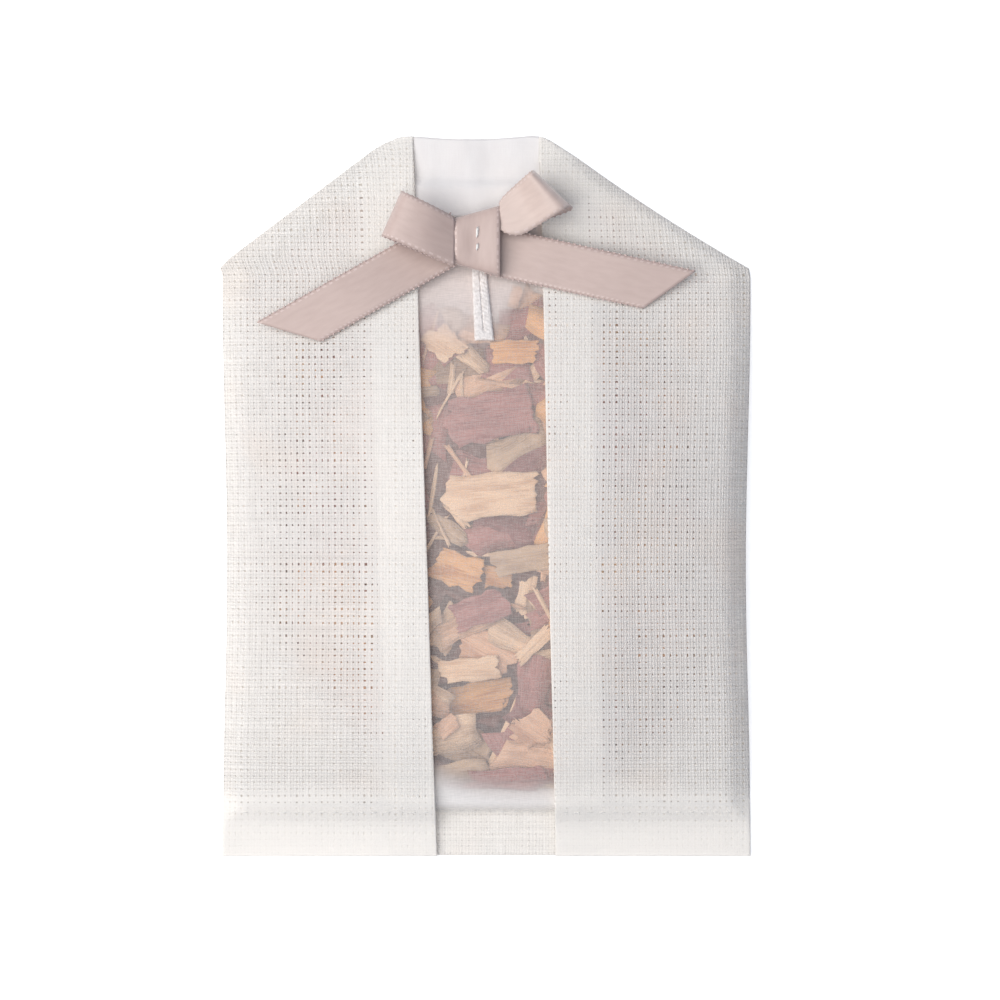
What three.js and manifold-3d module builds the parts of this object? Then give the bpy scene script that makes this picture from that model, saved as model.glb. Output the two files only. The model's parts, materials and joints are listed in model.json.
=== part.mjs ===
// Scented sachet made like a small open coat: a linen cover with two front panels over a sheer
// bag of wood shavings, with a satin bow sewn on at the neck and a tape hanging loop below it.
// Millimetres. It lies on its back: X runs across it, +Y to the neck and +Z up to the viewer.

import * as THREE from "three";
import { mergeVertices } from "three/addons/utils/BufferGeometryUtils.js";
import Module from "manifold-3d";

const wasm = await Module();
wasm.setup();

// Cloth thicknesses, and the clearance between pieces that touch
const LINEN_THICKNESS = 0.6;
const COTTON_THICKNESS = 0.4;
const VOILE_THICKNESS = 0.3;
const SATIN_THICKNESS = 0.5;
const TAPE_THICKNESS = 0.8;
const GAP = 0.3;

// Linen cover
const COVER_WIDTH = 110;
const COVER_LENGTH = 150.4;
const SHOULDER_DROP = 28;
const NECK_WIDTH = 29.2;
const NECK_SHIFT = -3.3;
const NECK_DIP = 1.5;
const SIDE_DRAW = 1.2;
const HEM_DEPTH = 10.5;
const FACING_WIDTH = 10;
const FOLD_STEP = 0.4;
const FLAT_WIDTH = 60;
const FLAT_SHARE = 1 / 3;
const SIDE_LIFT = 5;

// Opening between the front panels, at the hem and at the neck
const OPENING_HEM_WIDTH = 24.7;
const OPENING_HEM_SHIFT = 2.05;
const OPENING_NECK_WIDTH = 26.3;
const OPENING_NECK_SHIFT = -2.15;

// Facing of the back neck
const NECK_FACING_INSET = 0.8;

// Sheer bag and its fill
const BAG_MARGIN = 5;
const BAG_HEM_MARGIN = 1;
const BAG_NECK_MARGIN = 11.4;
const FILL_MARGIN = 4;
const FILL_LOW_MARGIN = 1.5;
const FILL_HIGH_MARGIN = 14;
const FILL_HEIGHT = 15;
const SIDE_ROUND = 0.55;
const LOW_END_ROUND = 0.6;
const HIGH_END_ROUND = 1.3;

// Wood shavings
const SHAVING_THICKNESS = 0.8;
const SHAVING_CURL = 0.35;
const SPLINTER_SHARE = 0.35;
const RAGGED_SHARE = 0.25;
const BED_LEAST_HEIGHT = 2.65;
const BED_END_ROOM = 1.25;
const ROOM_MARGIN = 0.8;

// Bow of satin ribbon
const RIBBON_WIDTH = 10;
const KNOT_WIDTH = 9.6;
const KNOT_LEFT_HEIGHT = 9.4;
const KNOT_RIGHT_HEIGHT = 14.8;
const KNOT_THICKNESS = 5.5;
const KNOT_SHIFT = -2;
const KNOT_FROM_TOP = 22.6;
const TAIL_EXIT = 1.7;
const TAIL_DROP = 9;
const LOOP_HEIGHT = 5.5;
const LOOP_ROOT_HEIGHT = 1.8;
const LOOP_ROOT_LOW = 0.45;
const LEFT_LOOP = { length: 14.2, turn: 156, rise: -0.2, rootWidth: 9, skew: 0 };
const RIGHT_LOOP = { length: 12, turn: 27.6, rise: 5.1, rootWidth: 5.1, skew: -0.3 };
const LEFT_TAIL = { length: 39.2, turn: 209.7, rise: 0.5, root: 11.5, cut: -4.8 };
const RIGHT_TAIL = { length: 36, turn: -12.6, rise: -2.25, root: 1.5, cut: 4.5 };

// Bend of a loop, as shares of its length and height: round its outer fold and back to the knot
const LOOP_BEND = [
  { out: 0.88, up: 0.15 },
  { out: 1, up: 0.5 },
  { out: 0.86, up: 0.92 },
  { out: 0.45, up: 0.85 },
];

// Hanging loop of doubled tape
const TAPE_LOOP_WIDTH = 4.3;
const TAPE_LOOP_LENGTH = 13;
const TAPE_LOOP_SHIFT = 1.1;
const TAPE_SLOT = 0.5;
const TAPE_FOLD = 1.6;

// Sewing thread
const THREAD_RADIUS = 0.25;
const HEM_THREAD_INSET = 1.2;
const HEM_THREAD_END = 2;
const TACK_RADIUS = 0.3;
const UPPER_TACK = { from: 3.1, to: 0.3 };
const LOWER_TACK = { from: -0.5, to: -2.2 };

// Mesh fineness
const GRID_STEP = 8;
const LOW_END_ROWS = 9;
const BACK_FLAT_COLUMNS = 6;
const BACK_SIDE_COLUMNS = 3;
const FRONT_COLUMNS = 7;
const FACING_COLUMNS = 2;
const NECK_ROWS = 3;
const NECK_COLUMNS = 6;
const BAG_SIDE_COLUMNS = 6;
const BED_COLUMNS = 10;
const SHAVING_ROWS = 6;
const SHAVING_COLUMNS = 2;
const STRIP_STEP = 3;
const STRIP_PROBES = 4;
const LOOP_STEPS = 18;
const KNOT_RINGS = 4;
const KNOT_PROBE_STEP = 2;
const TACK_STEP = 1;
const TAPE_COLUMNS = 2;
const ROUND_SIDES = 14;
const THREAD_SIDES = 5;
const THREAD_STEPS_PER_POINT = 2;

// Lines worked out from the sizes above
const HEM_Y = -COVER_LENGTH / 2;
const TOP_Y = COVER_LENGTH / 2;
const HEM_LINE = HEM_Y + HEM_DEPTH;
const SHOULDER_Y = TOP_Y - SHOULDER_DROP;
const BAG_LOW = HEM_LINE + BAG_HEM_MARGIN;
const BAG_HIGH = TOP_Y - BAG_NECK_MARGIN;
const FILL_LOW = BAG_LOW + FILL_LOW_MARGIN;
const FILL_HIGH = BAG_HIGH - FILL_HIGH_MARGIN;
const FILL_LENGTH = FILL_HIGH - FILL_LOW;
const FILL_MIDDLE = (FILL_LOW + FILL_HIGH) / 2;
const KNOT_Y = TOP_Y - KNOT_FROM_TOP;
const SHAVING_PITCH = SHAVING_THICKNESS + SHAVING_CURL + GAP;
const BAG_STACK = 2 * VOILE_THICKNESS + 3 * GAP;

const { clamp, degToRad, lerp, seededRandom } = THREE.MathUtils;
const share = (value) => clamp(value, 0, 1);

const FINISHES = {
  linen: { color: 0xf4efe6, roughness: 0.95 },
  cotton: { color: 0xf7f4f1, roughness: 0.9 },
  voile: { color: 0xefe6e2, roughness: 0.7 },
  satin: { color: 0xc4a397, roughness: 0.4 },
  tape: { color: 0xf3efec, roughness: 0.9 },
  thread: { color: 0xf6f2ec, roughness: 0.8 },
  bed: { color: 0xb9977f, roughness: 0.9 },
  cream: { color: 0xe6cfa9, roughness: 0.85 },
  peach: { color: 0xe2b48c, roughness: 0.85 },
  orange: { color: 0xd89a63, roughness: 0.85 },
  mauve: { color: 0xa67f7a, roughness: 0.85 },
  olive: { color: 0xc9b48c, roughness: 0.85 },
};

// Shavings in the opening, from the neck down: place across, share of the way along from the
// fill's middle to its end, length, width and turn
const WINDOW_SHAVINGS = [
  { tone: "peach", x: 6.1, along: 0.85, long: 5, wide: 2.5, turn: 75 },
  { tone: "cream", x: -8.6, along: 0.67, long: 9.5, wide: 7, turn: -45 },
  { tone: "orange", x: 6.1, along: 0.64, long: 10.5, wide: 5.5, turn: 0 },
  { tone: "cream", x: 9, along: 0.55, long: 6, wide: 4, turn: 60 },
  { tone: "mauve", x: 1.1, along: 0.4, long: 21, wide: 11.5, turn: 12 },
  { tone: "cream", x: 6.8, along: 0.26, long: 8.5, wide: 2.2, turn: 100 },
  { tone: "peach", x: 10.3, along: 0.34, long: 6.5, wide: 5, turn: 30 },
  { tone: "olive", x: 3.8, along: 0.22, long: 9, wide: 6, turn: 60 },
  { tone: "cream", x: 1.3, along: 0.11, long: 23, wide: 10.5, turn: 5 },
  { tone: "cream", x: -6.3, along: 0.04, long: 8.5, wide: 1.8, turn: -50 },
  { tone: "peach", x: -2.4, along: -0.05, long: 6.5, wide: 5, turn: -30 },
  { tone: "orange", x: -6.3, along: -0.16, long: 11.5, wide: 8, turn: -20 },
  { tone: "olive", x: 7, along: -0.13, long: 12.5, wide: 6, turn: 10 },
  { tone: "orange", x: 2.4, along: -0.19, long: 6.5, wide: 5, turn: 0 },
  { tone: "cream", x: 8, along: -0.26, long: 9.5, wide: 4, turn: 80 },
  { tone: "mauve", x: -1.5, along: -0.31, long: 13, wide: 7, turn: 20 },
  { tone: "cream", x: -8, along: -0.38, long: 10.5, wide: 6, turn: 60 },
  { tone: "peach", x: 0.3, along: -0.46, long: 15, wide: 9, turn: -30 },
  { tone: "mauve", x: 4.9, along: -0.41, long: 11, wide: 6, turn: 10 },
  { tone: "cream", x: 9.9, along: -0.44, long: 11, wide: 3, turn: 45 },
  { tone: "cream", x: -3, along: -0.53, long: 15, wide: 5.5, turn: 5 },
  { tone: "cream", x: 4.7, along: -0.75, long: 21, wide: 3, turn: 68 },
  { tone: "orange", x: -2, along: -0.64, long: 16, wide: 7.5, turn: 12 },
  { tone: "mauve", x: 12.1, along: -0.59, long: 11, wide: 5, turn: 85 },
  { tone: "olive", x: -4.5, along: -0.81, long: 12, wide: 9, turn: -20 },
  { tone: "peach", x: 9.9, along: -0.75, long: 9, wide: 7.5, turn: 30 },
  { tone: "peach", x: -8, along: -0.74, long: 5, wide: 4, turn: 40 },
  { tone: "mauve", x: 4, along: -0.93, long: 19, wide: 3.5, turn: 4 },
];

// Shavings under the front panels, placed across by a share of the way to the fill's side
const HIDDEN_SHAVINGS = [
  { tone: "peach", aside: -0.57, along: 0.39, long: 20, wide: 9, turn: 70 },
  { tone: "mauve", aside: 0.59, along: 0.32, long: 20, wide: 9, turn: 110 },
  { tone: "mauve", aside: -0.73, along: 0, long: 16, wide: 7, turn: 100 },
  { tone: "cream", aside: 0.66, along: -0.14, long: 18, wide: 9, turn: 30 },
  { tone: "cream", aside: -0.59, along: -0.34, long: 18, wide: 8, turn: 20 },
  { tone: "olive", aside: 0.59, along: -0.57, long: 17, wide: 8, turn: -20 },
  { tone: "peach", aside: -0.53, along: -0.68, long: 18, wide: 9, turn: -40 },
];

// Left and right side of the cover at a height along it: side folds, then shoulder slopes
function coverSides(y) {
  const slope = share((y - SHOULDER_Y) / SHOULDER_DROP);
  const belly = share((y - HEM_Y) / (SHOULDER_Y - HEM_Y));
  const half = COVER_WIDTH / 2 - SIDE_DRAW * Math.sin(Math.PI * belly) ** 2;
  const left = lerp(-half, NECK_SHIFT - NECK_WIDTH / 2, slope);
  const right = lerp(half, NECK_SHIFT + NECK_WIDTH / 2, slope);
  return [left, right];
}

function bagSides(y) {
  const [left, right] = coverSides(y);
  return [left + BAG_MARGIN, right - BAG_MARGIN];
}

function fillSides(y) {
  const [left, right] = bagSides(y);
  return [left + FILL_MARGIN, right - FILL_MARGIN];
}

// Left and right edge of the opening between the front panels
function openingEdges(y) {
  const along = share((y - HEM_Y) / COVER_LENGTH);
  const middle = lerp(OPENING_HEM_SHIFT, OPENING_NECK_SHIFT, along);
  const half = lerp(OPENING_HEM_WIDTH, OPENING_NECK_WIDTH, along) / 2;
  return [middle - half, middle + half];
}

// Top edge of the back at the neck, dipped in its middle
function neckEdge(x) {
  const across = clamp((x - NECK_SHIFT) / (NECK_WIDTH / 2), -1, 1);
  return TOP_Y - NECK_DIP * (1 - across * across);
}

// Share of the full crown across the sachet and along it
function crownAcross(x, [left, right]) {
  const across = (2 * x - left - right) / (right - left);
  return Math.max(0, 1 - across * across) ** SIDE_ROUND;
}

function crownAlong(y) {
  const along = (2 * y - FILL_LOW - FILL_HIGH) / FILL_LENGTH;
  const round = along < 0 ? LOW_END_ROUND : HIGH_END_ROUND;
  return Math.max(0, 1 - along * along) ** round;
}

const fillHeight = (x, y) => FILL_HEIGHT * crownAcross(x, fillSides(y)) * crownAlong(y);
const coverRoom = (x, y) => FILL_HEIGHT * crownAcross(x, coverSides(y)) * crownAlong(y);

// Share of a doubled edge: 1 on the turned hem or facing, 0 past its fold step
const hemShare = (y) => share((HEM_LINE + FOLD_STEP - y) / FOLD_STEP);
const facingShare = (distance, width) => share((width + FOLD_STEP - distance) / FOLD_STEP);

// Share of the bag's layers that the cover holds apart: none at its sides and hem
function bagShare(x, y) {
  const [left, right] = coverSides(y);
  const fromSide = Math.min(x - left, right - x) / BAG_MARGIN;
  const fromHem = (y - HEM_LINE) / (BAG_LOW - HEM_LINE);
  return share(Math.min(fromSide, fromHem));
}

// Heights of each layer over the surface that the sachet lies on
function backLow(x, y) {
  const past = Math.max(0, Math.abs(x) - FLAT_WIDTH / 2) / ((COVER_WIDTH - FLAT_WIDTH) / 2);
  return SIDE_LIFT * crownAlong(y) * past * past;
}

const backTop = (x, y) => backLow(x, y) + LINEN_THICKNESS * (1 + hemShare(y));
const bagBackLow = (x, y) => backTop(x, y) + GAP;
const bagBackTop = (x, y) => bagBackLow(x, y) + VOILE_THICKNESS;
const bagFrontLow = (x, y) => bagBackTop(x, y) + GAP + fillHeight(x, y);
const bagFrontTop = (x, y) => bagFrontLow(x, y) + VOILE_THICKNESS;
const frontLow = (x, y) => backTop(x, y) + GAP + BAG_STACK * bagShare(x, y) + coverRoom(x, y);

// Width of the turned facing, which the shoulder cuts short at the neck
function facingWidth(y, left) {
  const outer = coverSides(y)[left ? 0 : 1];
  const inner = openingEdges(y)[left ? 0 : 1];
  return Math.min(FACING_WIDTH, Math.abs(outer - inner) / 2);
}

function frontTop(x, y, left) {
  const distance = Math.abs(x - openingEdges(y)[left ? 0 : 1]);
  const doubled = Math.max(hemShare(y), facingShare(distance, facingWidth(y, left)));
  return frontLow(x, y) + LINEN_THICKNESS * (1 + doubled);
}

// Highest cloth at a place on the front, which the bow and its tails lie on
function clothTop(x, y) {
  const [left, right] = openingEdges(y);
  if (x <= left + GAP) {
    return frontTop(Math.min(x, left), y, true);
  }
  if (x >= right - GAP) {
    return frontTop(Math.max(x, right), y, false);
  }
  return y <= BAG_HIGH ? bagFrontTop(x, y) : backTop(x, y) + GAP + COTTON_THICKNESS;
}

// Values from one to another in a number of even steps
function evenly(from, to, count) {
  return Array.from({ length: count + 1 }, (_, index) => lerp(from, to, index / count));
}

// Even steps, none longer than the size given
function steps(from, to, size) {
  const count = Math.ceil(Math.abs(to - from) / size);
  return evenly(from, to, Math.max(1, count));
}

// Steps that close up toward the first value, where the cloth turns over a side fold
function closing(from, to, count) {
  return evenly(0, Math.PI / 2, count).map((angle) => lerp(from, to, 1 - Math.cos(angle)));
}

function geometryFrom(positions, triangles) {
  const geometry = new THREE.BufferGeometry();
  geometry.setAttribute("position", new THREE.Float32BufferAttribute(positions, 3));
  geometry.setIndex(triangles);
  geometry.computeVertexNormals();
  return geometry;
}

const coordinates = (points) => points.flatMap((point) => [point.x, point.y, point.z]);

// Closed body between two grids of points. From above, columns run right and rows run up.
function slab(upper, lower) {
  const rows = upper.length;
  const columns = upper[0].length;
  const under = rows * columns;
  const at = (row, column) => row * columns + column;
  const triangles = [];
  const quad = (a, b, c, d) => triangles.push(a, b, c, a, c, d);
  for (let row = 0; row < rows - 1; row += 1) {
    for (let column = 0; column < columns - 1; column += 1) {
      const near = at(row, column);
      const far = at(row + 1, column);
      const corners = [near, near + 1, far + 1, far];
      quad(...corners);
      quad(...corners.map((corner) => under + corner).reverse());
    }
  }
  const across = [...upper[0].keys()];
  const up = [...upper.keys()].slice(1, -1);
  const rim = [
    ...across.map((column) => at(0, column)),
    ...up.map((row) => at(row, columns - 1)),
    ...across.map((column) => at(rows - 1, column)).reverse(),
    ...up.map((row) => at(row, 0)).reverse(),
  ];
  rim.forEach((corner, index) => {
    const next = rim[(index + 1) % rim.length];
    quad(under + corner, under + next, next, corner);
  });
  return geometryFrom(coordinates([...upper.flat(), ...lower.flat()]), triangles);
}

// Sheet over a plan grid, between its lower and upper height at each place
function layer(plan, low, top) {
  const raised = (height) => {
    const point = ([x, y]) => new THREE.Vector3(x, y, height(x, y));
    return plan.map((row) => row.map(point));
  };
  return slab(raised(top), raised(low));
}

// Closed body through rings of points that run round the X axis
function loft(rings) {
  const sides = rings[0].length;
  const triangles = [];
  for (let ring = 0; ring < rings.length - 1; ring += 1) {
    for (let side = 0; side < sides; side += 1) {
      const next = (side + 1) % sides;
      const [a, b] = [ring * sides + side, ring * sides + next];
      triangles.push(a, b, b + sides, a, b + sides, a + sides);
    }
  }
  const last = (rings.length - 1) * sides;
  for (let side = 1; side < sides - 1; side += 1) {
    triangles.push(0, side + 1, side);
    triangles.push(last, last + side, last + side + 1);
  }
  return geometryFrom(coordinates(rings.flat()), triangles);
}

// Round thread through the points given
function thread(points, radius) {
  const corner = (_, side) => {
    const angle = (2 * Math.PI * side) / THREAD_SIDES;
    return new THREE.Vector2(radius * Math.cos(angle), radius * Math.sin(angle));
  };
  const section = new THREE.Shape(Array.from({ length: THREAD_SIDES }, corner));
  return new THREE.ExtrudeGeometry(section, {
    steps: points.length * THREAD_STEPS_PER_POINT,
    bevelEnabled: false,
    extrudePath: new THREE.CatmullRomCurve3(points),
  });
}

function solidOf(geometry) {
  const plain = geometry.clone();
  plain.deleteAttribute("normal");
  plain.deleteAttribute("uv");
  const merged = mergeVertices(plain);
  const vertProperties = new Float32Array(merged.attributes.position.array);
  const triVerts = new Uint32Array(merged.index.array);
  return new wasm.Manifold(new wasm.Mesh({ numProp: 3, vertProperties, triVerts }));
}

function geometryOf(solid) {
  const mesh = solid.getMesh();
  return geometryFrom(Array.from(mesh.vertProperties), Array.from(mesh.triVerts));
}

const sachet = new THREE.Group();
sachet.name = "scented_sachet";

function addPiece(name, geometry, finish) {
  const material = new THREE.MeshStandardMaterial(FINISHES[finish]);
  const mesh = new THREE.Mesh(geometry, material);
  mesh.name = name;
  sachet.add(mesh);
}

// Rows over the fill, which close up at its lower end, where the cloth turns over it
function fillRows() {
  const lower = closing(FILL_LOW, FILL_MIDDLE, LOW_END_ROWS);
  return [...lower, ...steps(FILL_MIDDLE, FILL_HIGH, GRID_STEP).slice(1)];
}

// Rows of the cover, with one at each side of the hem's fold and one at the shoulders
function coverRows() {
  const body = fillRows().filter((y) => y < SHOULDER_Y - GRID_STEP / 2);
  const shoulder = steps(SHOULDER_Y, TOP_Y, GRID_STEP);
  return [HEM_Y, HEM_LINE, HEM_LINE + FOLD_STEP, BAG_LOW, ...body, ...shoulder];
}

function backPanel() {
  const plan = coverRows().map((y) => {
    const [left, right] = coverSides(y);
    const middle = (left + right) / 2;
    const flat = Math.min(FLAT_WIDTH / 2, (right - left) * FLAT_SHARE);
    const inner = evenly(middle - flat, middle + flat, BACK_FLAT_COLUMNS);
    const leftPart = evenly(left, middle - flat, BACK_SIDE_COLUMNS).slice(0, -1);
    const rightPart = evenly(middle + flat, right, BACK_SIDE_COLUMNS).slice(1);
    return [...leftPart, ...inner, ...rightPart].map((x) => [x, Math.min(y, neckEdge(x))]);
  });
  return layer(plan, backLow, backTop);
}

function frontPanel(left) {
  const plan = coverRows().map((y) => {
    const outer = coverSides(y)[left ? 0 : 1];
    const inner = openingEdges(y)[left ? 0 : 1];
    const inward = Math.sign(inner - outer);
    const fold = inner - inward * facingWidth(y, left);
    const body = fold - inward * FOLD_STEP;
    const plain = closing(outer, body, FRONT_COLUMNS);
    const facing = evenly(fold, inner, FACING_COLUMNS);
    const row = [...plain, ...facing].map((x) => [x, y]);
    return left ? row : row.reverse();
  });
  return layer(plan, frontLow, (x, y) => frontTop(x, y, left));
}

// Smooth cotton facing inside the back neck, between the front panels
function neckFacing() {
  const low = BAG_HIGH + GAP;
  const plan = evenly(0, 1, NECK_ROWS).map((along) => {
    const [left, right] = openingEdges(lerp(low, TOP_Y, along));
    const xs = evenly(left + GAP, right - GAP, NECK_COLUMNS);
    return xs.map((x) => [x, lerp(low, neckEdge(x) - NECK_FACING_INSET, along)]);
  });
  const bottom = (x, y) => backTop(x, y) + GAP;
  return layer(plan, bottom, (x, y) => bottom(x, y) + COTTON_THICKNESS);
}

function bagSheet(low, top) {
  const rows = [BAG_LOW, ...fillRows(), ...steps(FILL_HIGH, BAG_HIGH, GRID_STEP).slice(1)];
  const plan = rows.map((y) => {
    const [left, right] = bagSides(y);
    const middle = (left + right) / 2;
    const leftPart = closing(left, middle, BAG_SIDE_COLUMNS);
    const rightPart = closing(right, middle, BAG_SIDE_COLUMNS).reverse();
    return [...leftPart, ...rightPart.slice(1)].map((x) => [x, y]);
  });
  return layer(plan, low, top);
}

// Unit directions along a turned strip and across it, to its left
function heading(turn) {
  const along = new THREE.Vector2(1, 0).rotateAround(new THREE.Vector2(), degToRad(turn));
  return { along, across: new THREE.Vector2(-along.y, along.x) };
}

// Corners of a shaving's outline box, to tell which shavings lie over each other
function footprint({ x, y, long, wide, turn }) {
  const { along, across } = heading(turn);
  const [a, b] = [(long + GAP) / 2, (wide + GAP) / 2];
  const corner = ([ahead, aside]) => {
    const place = new THREE.Vector2(x, y).addScaledVector(along, ahead * a);
    return place.addScaledVector(across, aside * b);
  };
  const corners = [[-1, -1], [1, -1], [1, 1], [-1, 1]].map(corner);
  return { axes: [along, across], corners };
}

function cross(first, second) {
  const apart = (axis) => {
    const [one, two] = [first, second].map((box) => box.corners.map((corner) => corner.dot(axis)));
    return Math.max(...one) < Math.min(...two) || Math.max(...two) < Math.min(...one);
  };
  return ![...first.axes, ...second.axes].some(apart);
}

// Shaving with its place along the fill, and its place across where only a share is given
function placeOf(shaving) {
  const y = FILL_MIDDLE + (shaving.along * FILL_LENGTH) / 2;
  const [left, right] = fillSides(y);
  const x = shaving.x ?? (left + right + shaving.aside * (right - left)) / 2;
  return { ...shaving, x, y };
}

// Each shaving goes in the highest layer where it crosses none of those placed before it.
// Those with the least room under them, near the ends of the fill, are placed first.
function settle(shavings) {
  const placed = shavings.map(placeOf);
  const boxes = placed.map(footprint);
  const room = boxes.map((box) => Math.min(...box.corners.map(({ x, y }) => fillHeight(x, y))));
  const order = room.map((_, index) => index).sort((one, two) => room[one] - room[two]);
  const layers = [];
  for (const index of order) {
    const taken = layers.filter((_, other) => cross(boxes[index], boxes[other]));
    layers[index] = order.findIndex((_, level) => !taken.includes(level));
  }
  return placed.map((shaving, index) => ({ ...shaving, layer: layers[index] }));
}

// Grid of points over a shaving: its reach along and across, and its depth under the bag's front
function shavingSurface({ x, y, turn }, reach, depth) {
  const { along, across } = heading(turn);
  return evenly(-1, 1, SHAVING_COLUMNS).map((b, column) =>
    evenly(-1, 1, SHAVING_ROWS).map((a, row) => {
      const [ahead, aside] = reach(a, b, row, column);
      const place = new THREE.Vector2(x, y).addScaledVector(along, ahead);
      place.addScaledVector(across, aside);
      return new THREE.Vector3(place.x, place.y, bagFrontLow(place.x, place.y) - depth(a, b));
    }),
  );
}

// Curled flake with uneven sides and splintered ends, held under the front of the bag
function shavingFlake(shaving, seed) {
  const [acrossCount, alongCount] = [SHAVING_COLUMNS + 1, SHAVING_ROWS + 1];
  seededRandom(seed);
  const splinters = Array.from({ length: 2 * acrossCount }, () => 1 - SPLINTER_SHARE * seededRandom());
  const sides = Array.from({ length: 2 * alongCount }, () => 1 - RAGGED_SHARE * seededRandom());
  const reach = (a, b, row, column) => {
    const end = splinters[a < 0 ? column : column + acrossCount];
    const side = sides[b < 0 ? row : row + alongCount];
    return [(a * end * shaving.long) / 2, (b * side * shaving.wide) / 2];
  };
  const top = (a, b) => GAP + shaving.layer * SHAVING_PITCH + (SHAVING_CURL * (a * a + b * b)) / 2;
  const bottom = (a, b) => top(a, b) + SHAVING_THICKNESS;
  return slab(shavingSurface(shaving, reach, top), shavingSurface(shaving, reach, bottom));
}

// Room of a shaving in the bulk: its box and a margin, from just under it up to the bag
function shavingRoom(shaving) {
  const reach = (a, b) => [a * (shaving.long / 2 + ROOM_MARGIN), b * (shaving.wide / 2 + ROOM_MARGIN)];
  const floor = GAP + (shaving.layer + 1) * SHAVING_PITCH;
  return slab(shavingSurface(shaving, reach, () => 0), shavingSurface(shaving, reach, () => floor));
}

// Bulk of the shavings: heaped to just under the top layer, with room in it for those that lie deeper
function shavingBed(shavings) {
  const least = (SHAVING_PITCH + BED_LEAST_HEIGHT) / FILL_HEIGHT;
  const endShare = Math.min(1, least * BED_END_ROOM);
  const reach = (round) => (FILL_LENGTH / 2) * Math.sqrt(1 - endShare ** (1 / round));
  const low = FILL_MIDDLE - reach(LOW_END_ROUND);
  const rows = steps(low, FILL_MIDDLE + reach(HIGH_END_ROUND), GRID_STEP);
  const plan = rows.map((y) => {
    const [left, right] = fillSides(y);
    const spread = Math.sqrt(1 - Math.min(1, least / crownAlong(y)) ** (1 / SIDE_ROUND));
    const half = ((right - left) / 2) * spread;
    return evenly(-half, half, BED_COLUMNS).map((x) => [x + (left + right) / 2, y]);
  });
  const bottom = (x, y) => bagBackTop(x, y) + GAP;
  const heap = solidOf(layer(plan, bottom, (x, y) => bagFrontLow(x, y) - GAP - SHAVING_PITCH));
  const rooms = shavings.filter((shaving) => shaving.layer > 0).map(shavingRoom);
  const bodies = wasm.Manifold.difference([heap, ...rooms.map(solidOf)]).decompose();
  bodies.sort((one, two) => two.volume() - one.volume());
  return geometryOf(bodies[0]);
}

// Height that a flat strip needs to clear the cloth under its width and just before and after
function stripSeat(place, along, across) {
  const heights = [];
  for (const aside of evenly(-RIBBON_WIDTH / 2, RIBBON_WIDTH / 2, STRIP_PROBES)) {
    for (const ahead of evenly(-STRIP_STEP / 2, STRIP_STEP / 2, 2)) {
      const probe = place.clone().addScaledVector(along, ahead);
      probe.addScaledVector(across, aside);
      heights.push(clothTop(probe.x, probe.y));
    }
  }
  return Math.max(...heights) + GAP;
}

const knotSide = (left) => KNOT_SHIFT + ((left ? -1 : 1) * KNOT_WIDTH) / 2;
const knotHalfHeight = (x) => {
  const across = (x - knotSide(true)) / KNOT_WIDTH;
  return lerp(KNOT_LEFT_HEIGHT, KNOT_RIGHT_HEIGHT, across) / 2;
};

// Underside of the knot, clear of the cloth below it
function knotSeat() {
  const heights = steps(knotSide(true), knotSide(false), KNOT_PROBE_STEP).flatMap((x) => {
    const half = knotHalfHeight(x);
    return steps(KNOT_Y - half, KNOT_Y + half, KNOT_PROBE_STEP).map((y) => clothTop(x, y));
  });
  return Math.max(...heights) + GAP;
}

const KNOT_LOW = knotSeat();
const knotTop = (x, y) => {
  const across = clamp((y - KNOT_Y) / knotHalfHeight(x), -1, 1);
  return KNOT_LOW + (KNOT_THICKNESS / 2) * (1 + Math.sqrt(1 - across * across));
};

// Direction of a ribbon run, the direction to its left and the place where it leaves the knot
function ribbonRun({ turn, rise }, left) {
  return { ...heading(turn), start: new THREE.Vector2(knotSide(left), KNOT_Y + rise) };
}

// Underside of a tail: it leaves the knot above the cloth and comes down to lie on it
function tailSeat(distance, { along, across, start }) {
  const seat = stripSeat(start.clone().addScaledVector(along, distance), along, across);
  return Math.max(seat, lerp(KNOT_LOW + TAIL_EXIT, seat, share(distance / TAIL_DROP)));
}

// Ribbon strip that lies on the cloth, from one distance past the knot to another
function tailStrip(tail, left, from, to) {
  const run = ribbonRun(tail, left);
  const upper = [];
  const lower = [];
  for (const b of [1, 0, -1]) {
    const [top, bottom] = [[], []];
    for (const distance of steps(from, to, STRIP_STEP)) {
      const seat = tailSeat(distance, run);
      const slant = to === tail.length ? (tail.cut * b * (distance - from)) / (to - from) : 0;
      const place = run.start.clone().addScaledVector(run.along, distance + slant);
      place.addScaledVector(run.across, (b * RIBBON_WIDTH) / 2);
      bottom.push(new THREE.Vector3(place.x, place.y, seat));
      top.push(new THREE.Vector3(place.x, place.y, seat + SATIN_THICKNESS));
    }
    upper.unshift(top);
    lower.unshift(bottom);
  }
  return slab(upper, lower);
}

const freeTail = (tail, left) => tailStrip(tail, left, tail.root, tail.length);

// Knot with the covered start of each tail, which is the same ribbon
function knot() {
  const rings = evenly(knotSide(true), knotSide(false), KNOT_RINGS).map((x) => {
    const point = (_, side) => {
      const angle = (2 * Math.PI * side) / ROUND_SIDES;
      const y = KNOT_Y + knotHalfHeight(x) * Math.cos(angle);
      return new THREE.Vector3(x, y, KNOT_LOW + (KNOT_THICKNESS / 2) * (1 + Math.sin(angle)));
    };
    return Array.from({ length: ROUND_SIDES }, point);
  });
  const leftRoot = tailStrip(LEFT_TAIL, true, -SATIN_THICKNESS, LEFT_TAIL.root - GAP);
  const rightRoot = tailStrip(RIGHT_TAIL, false, -SATIN_THICKNESS, RIGHT_TAIL.root - GAP);
  return geometryOf(solidOf(loft(rings)).add(solidOf(leftRoot)).add(solidOf(rightRoot)));
}

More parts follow.
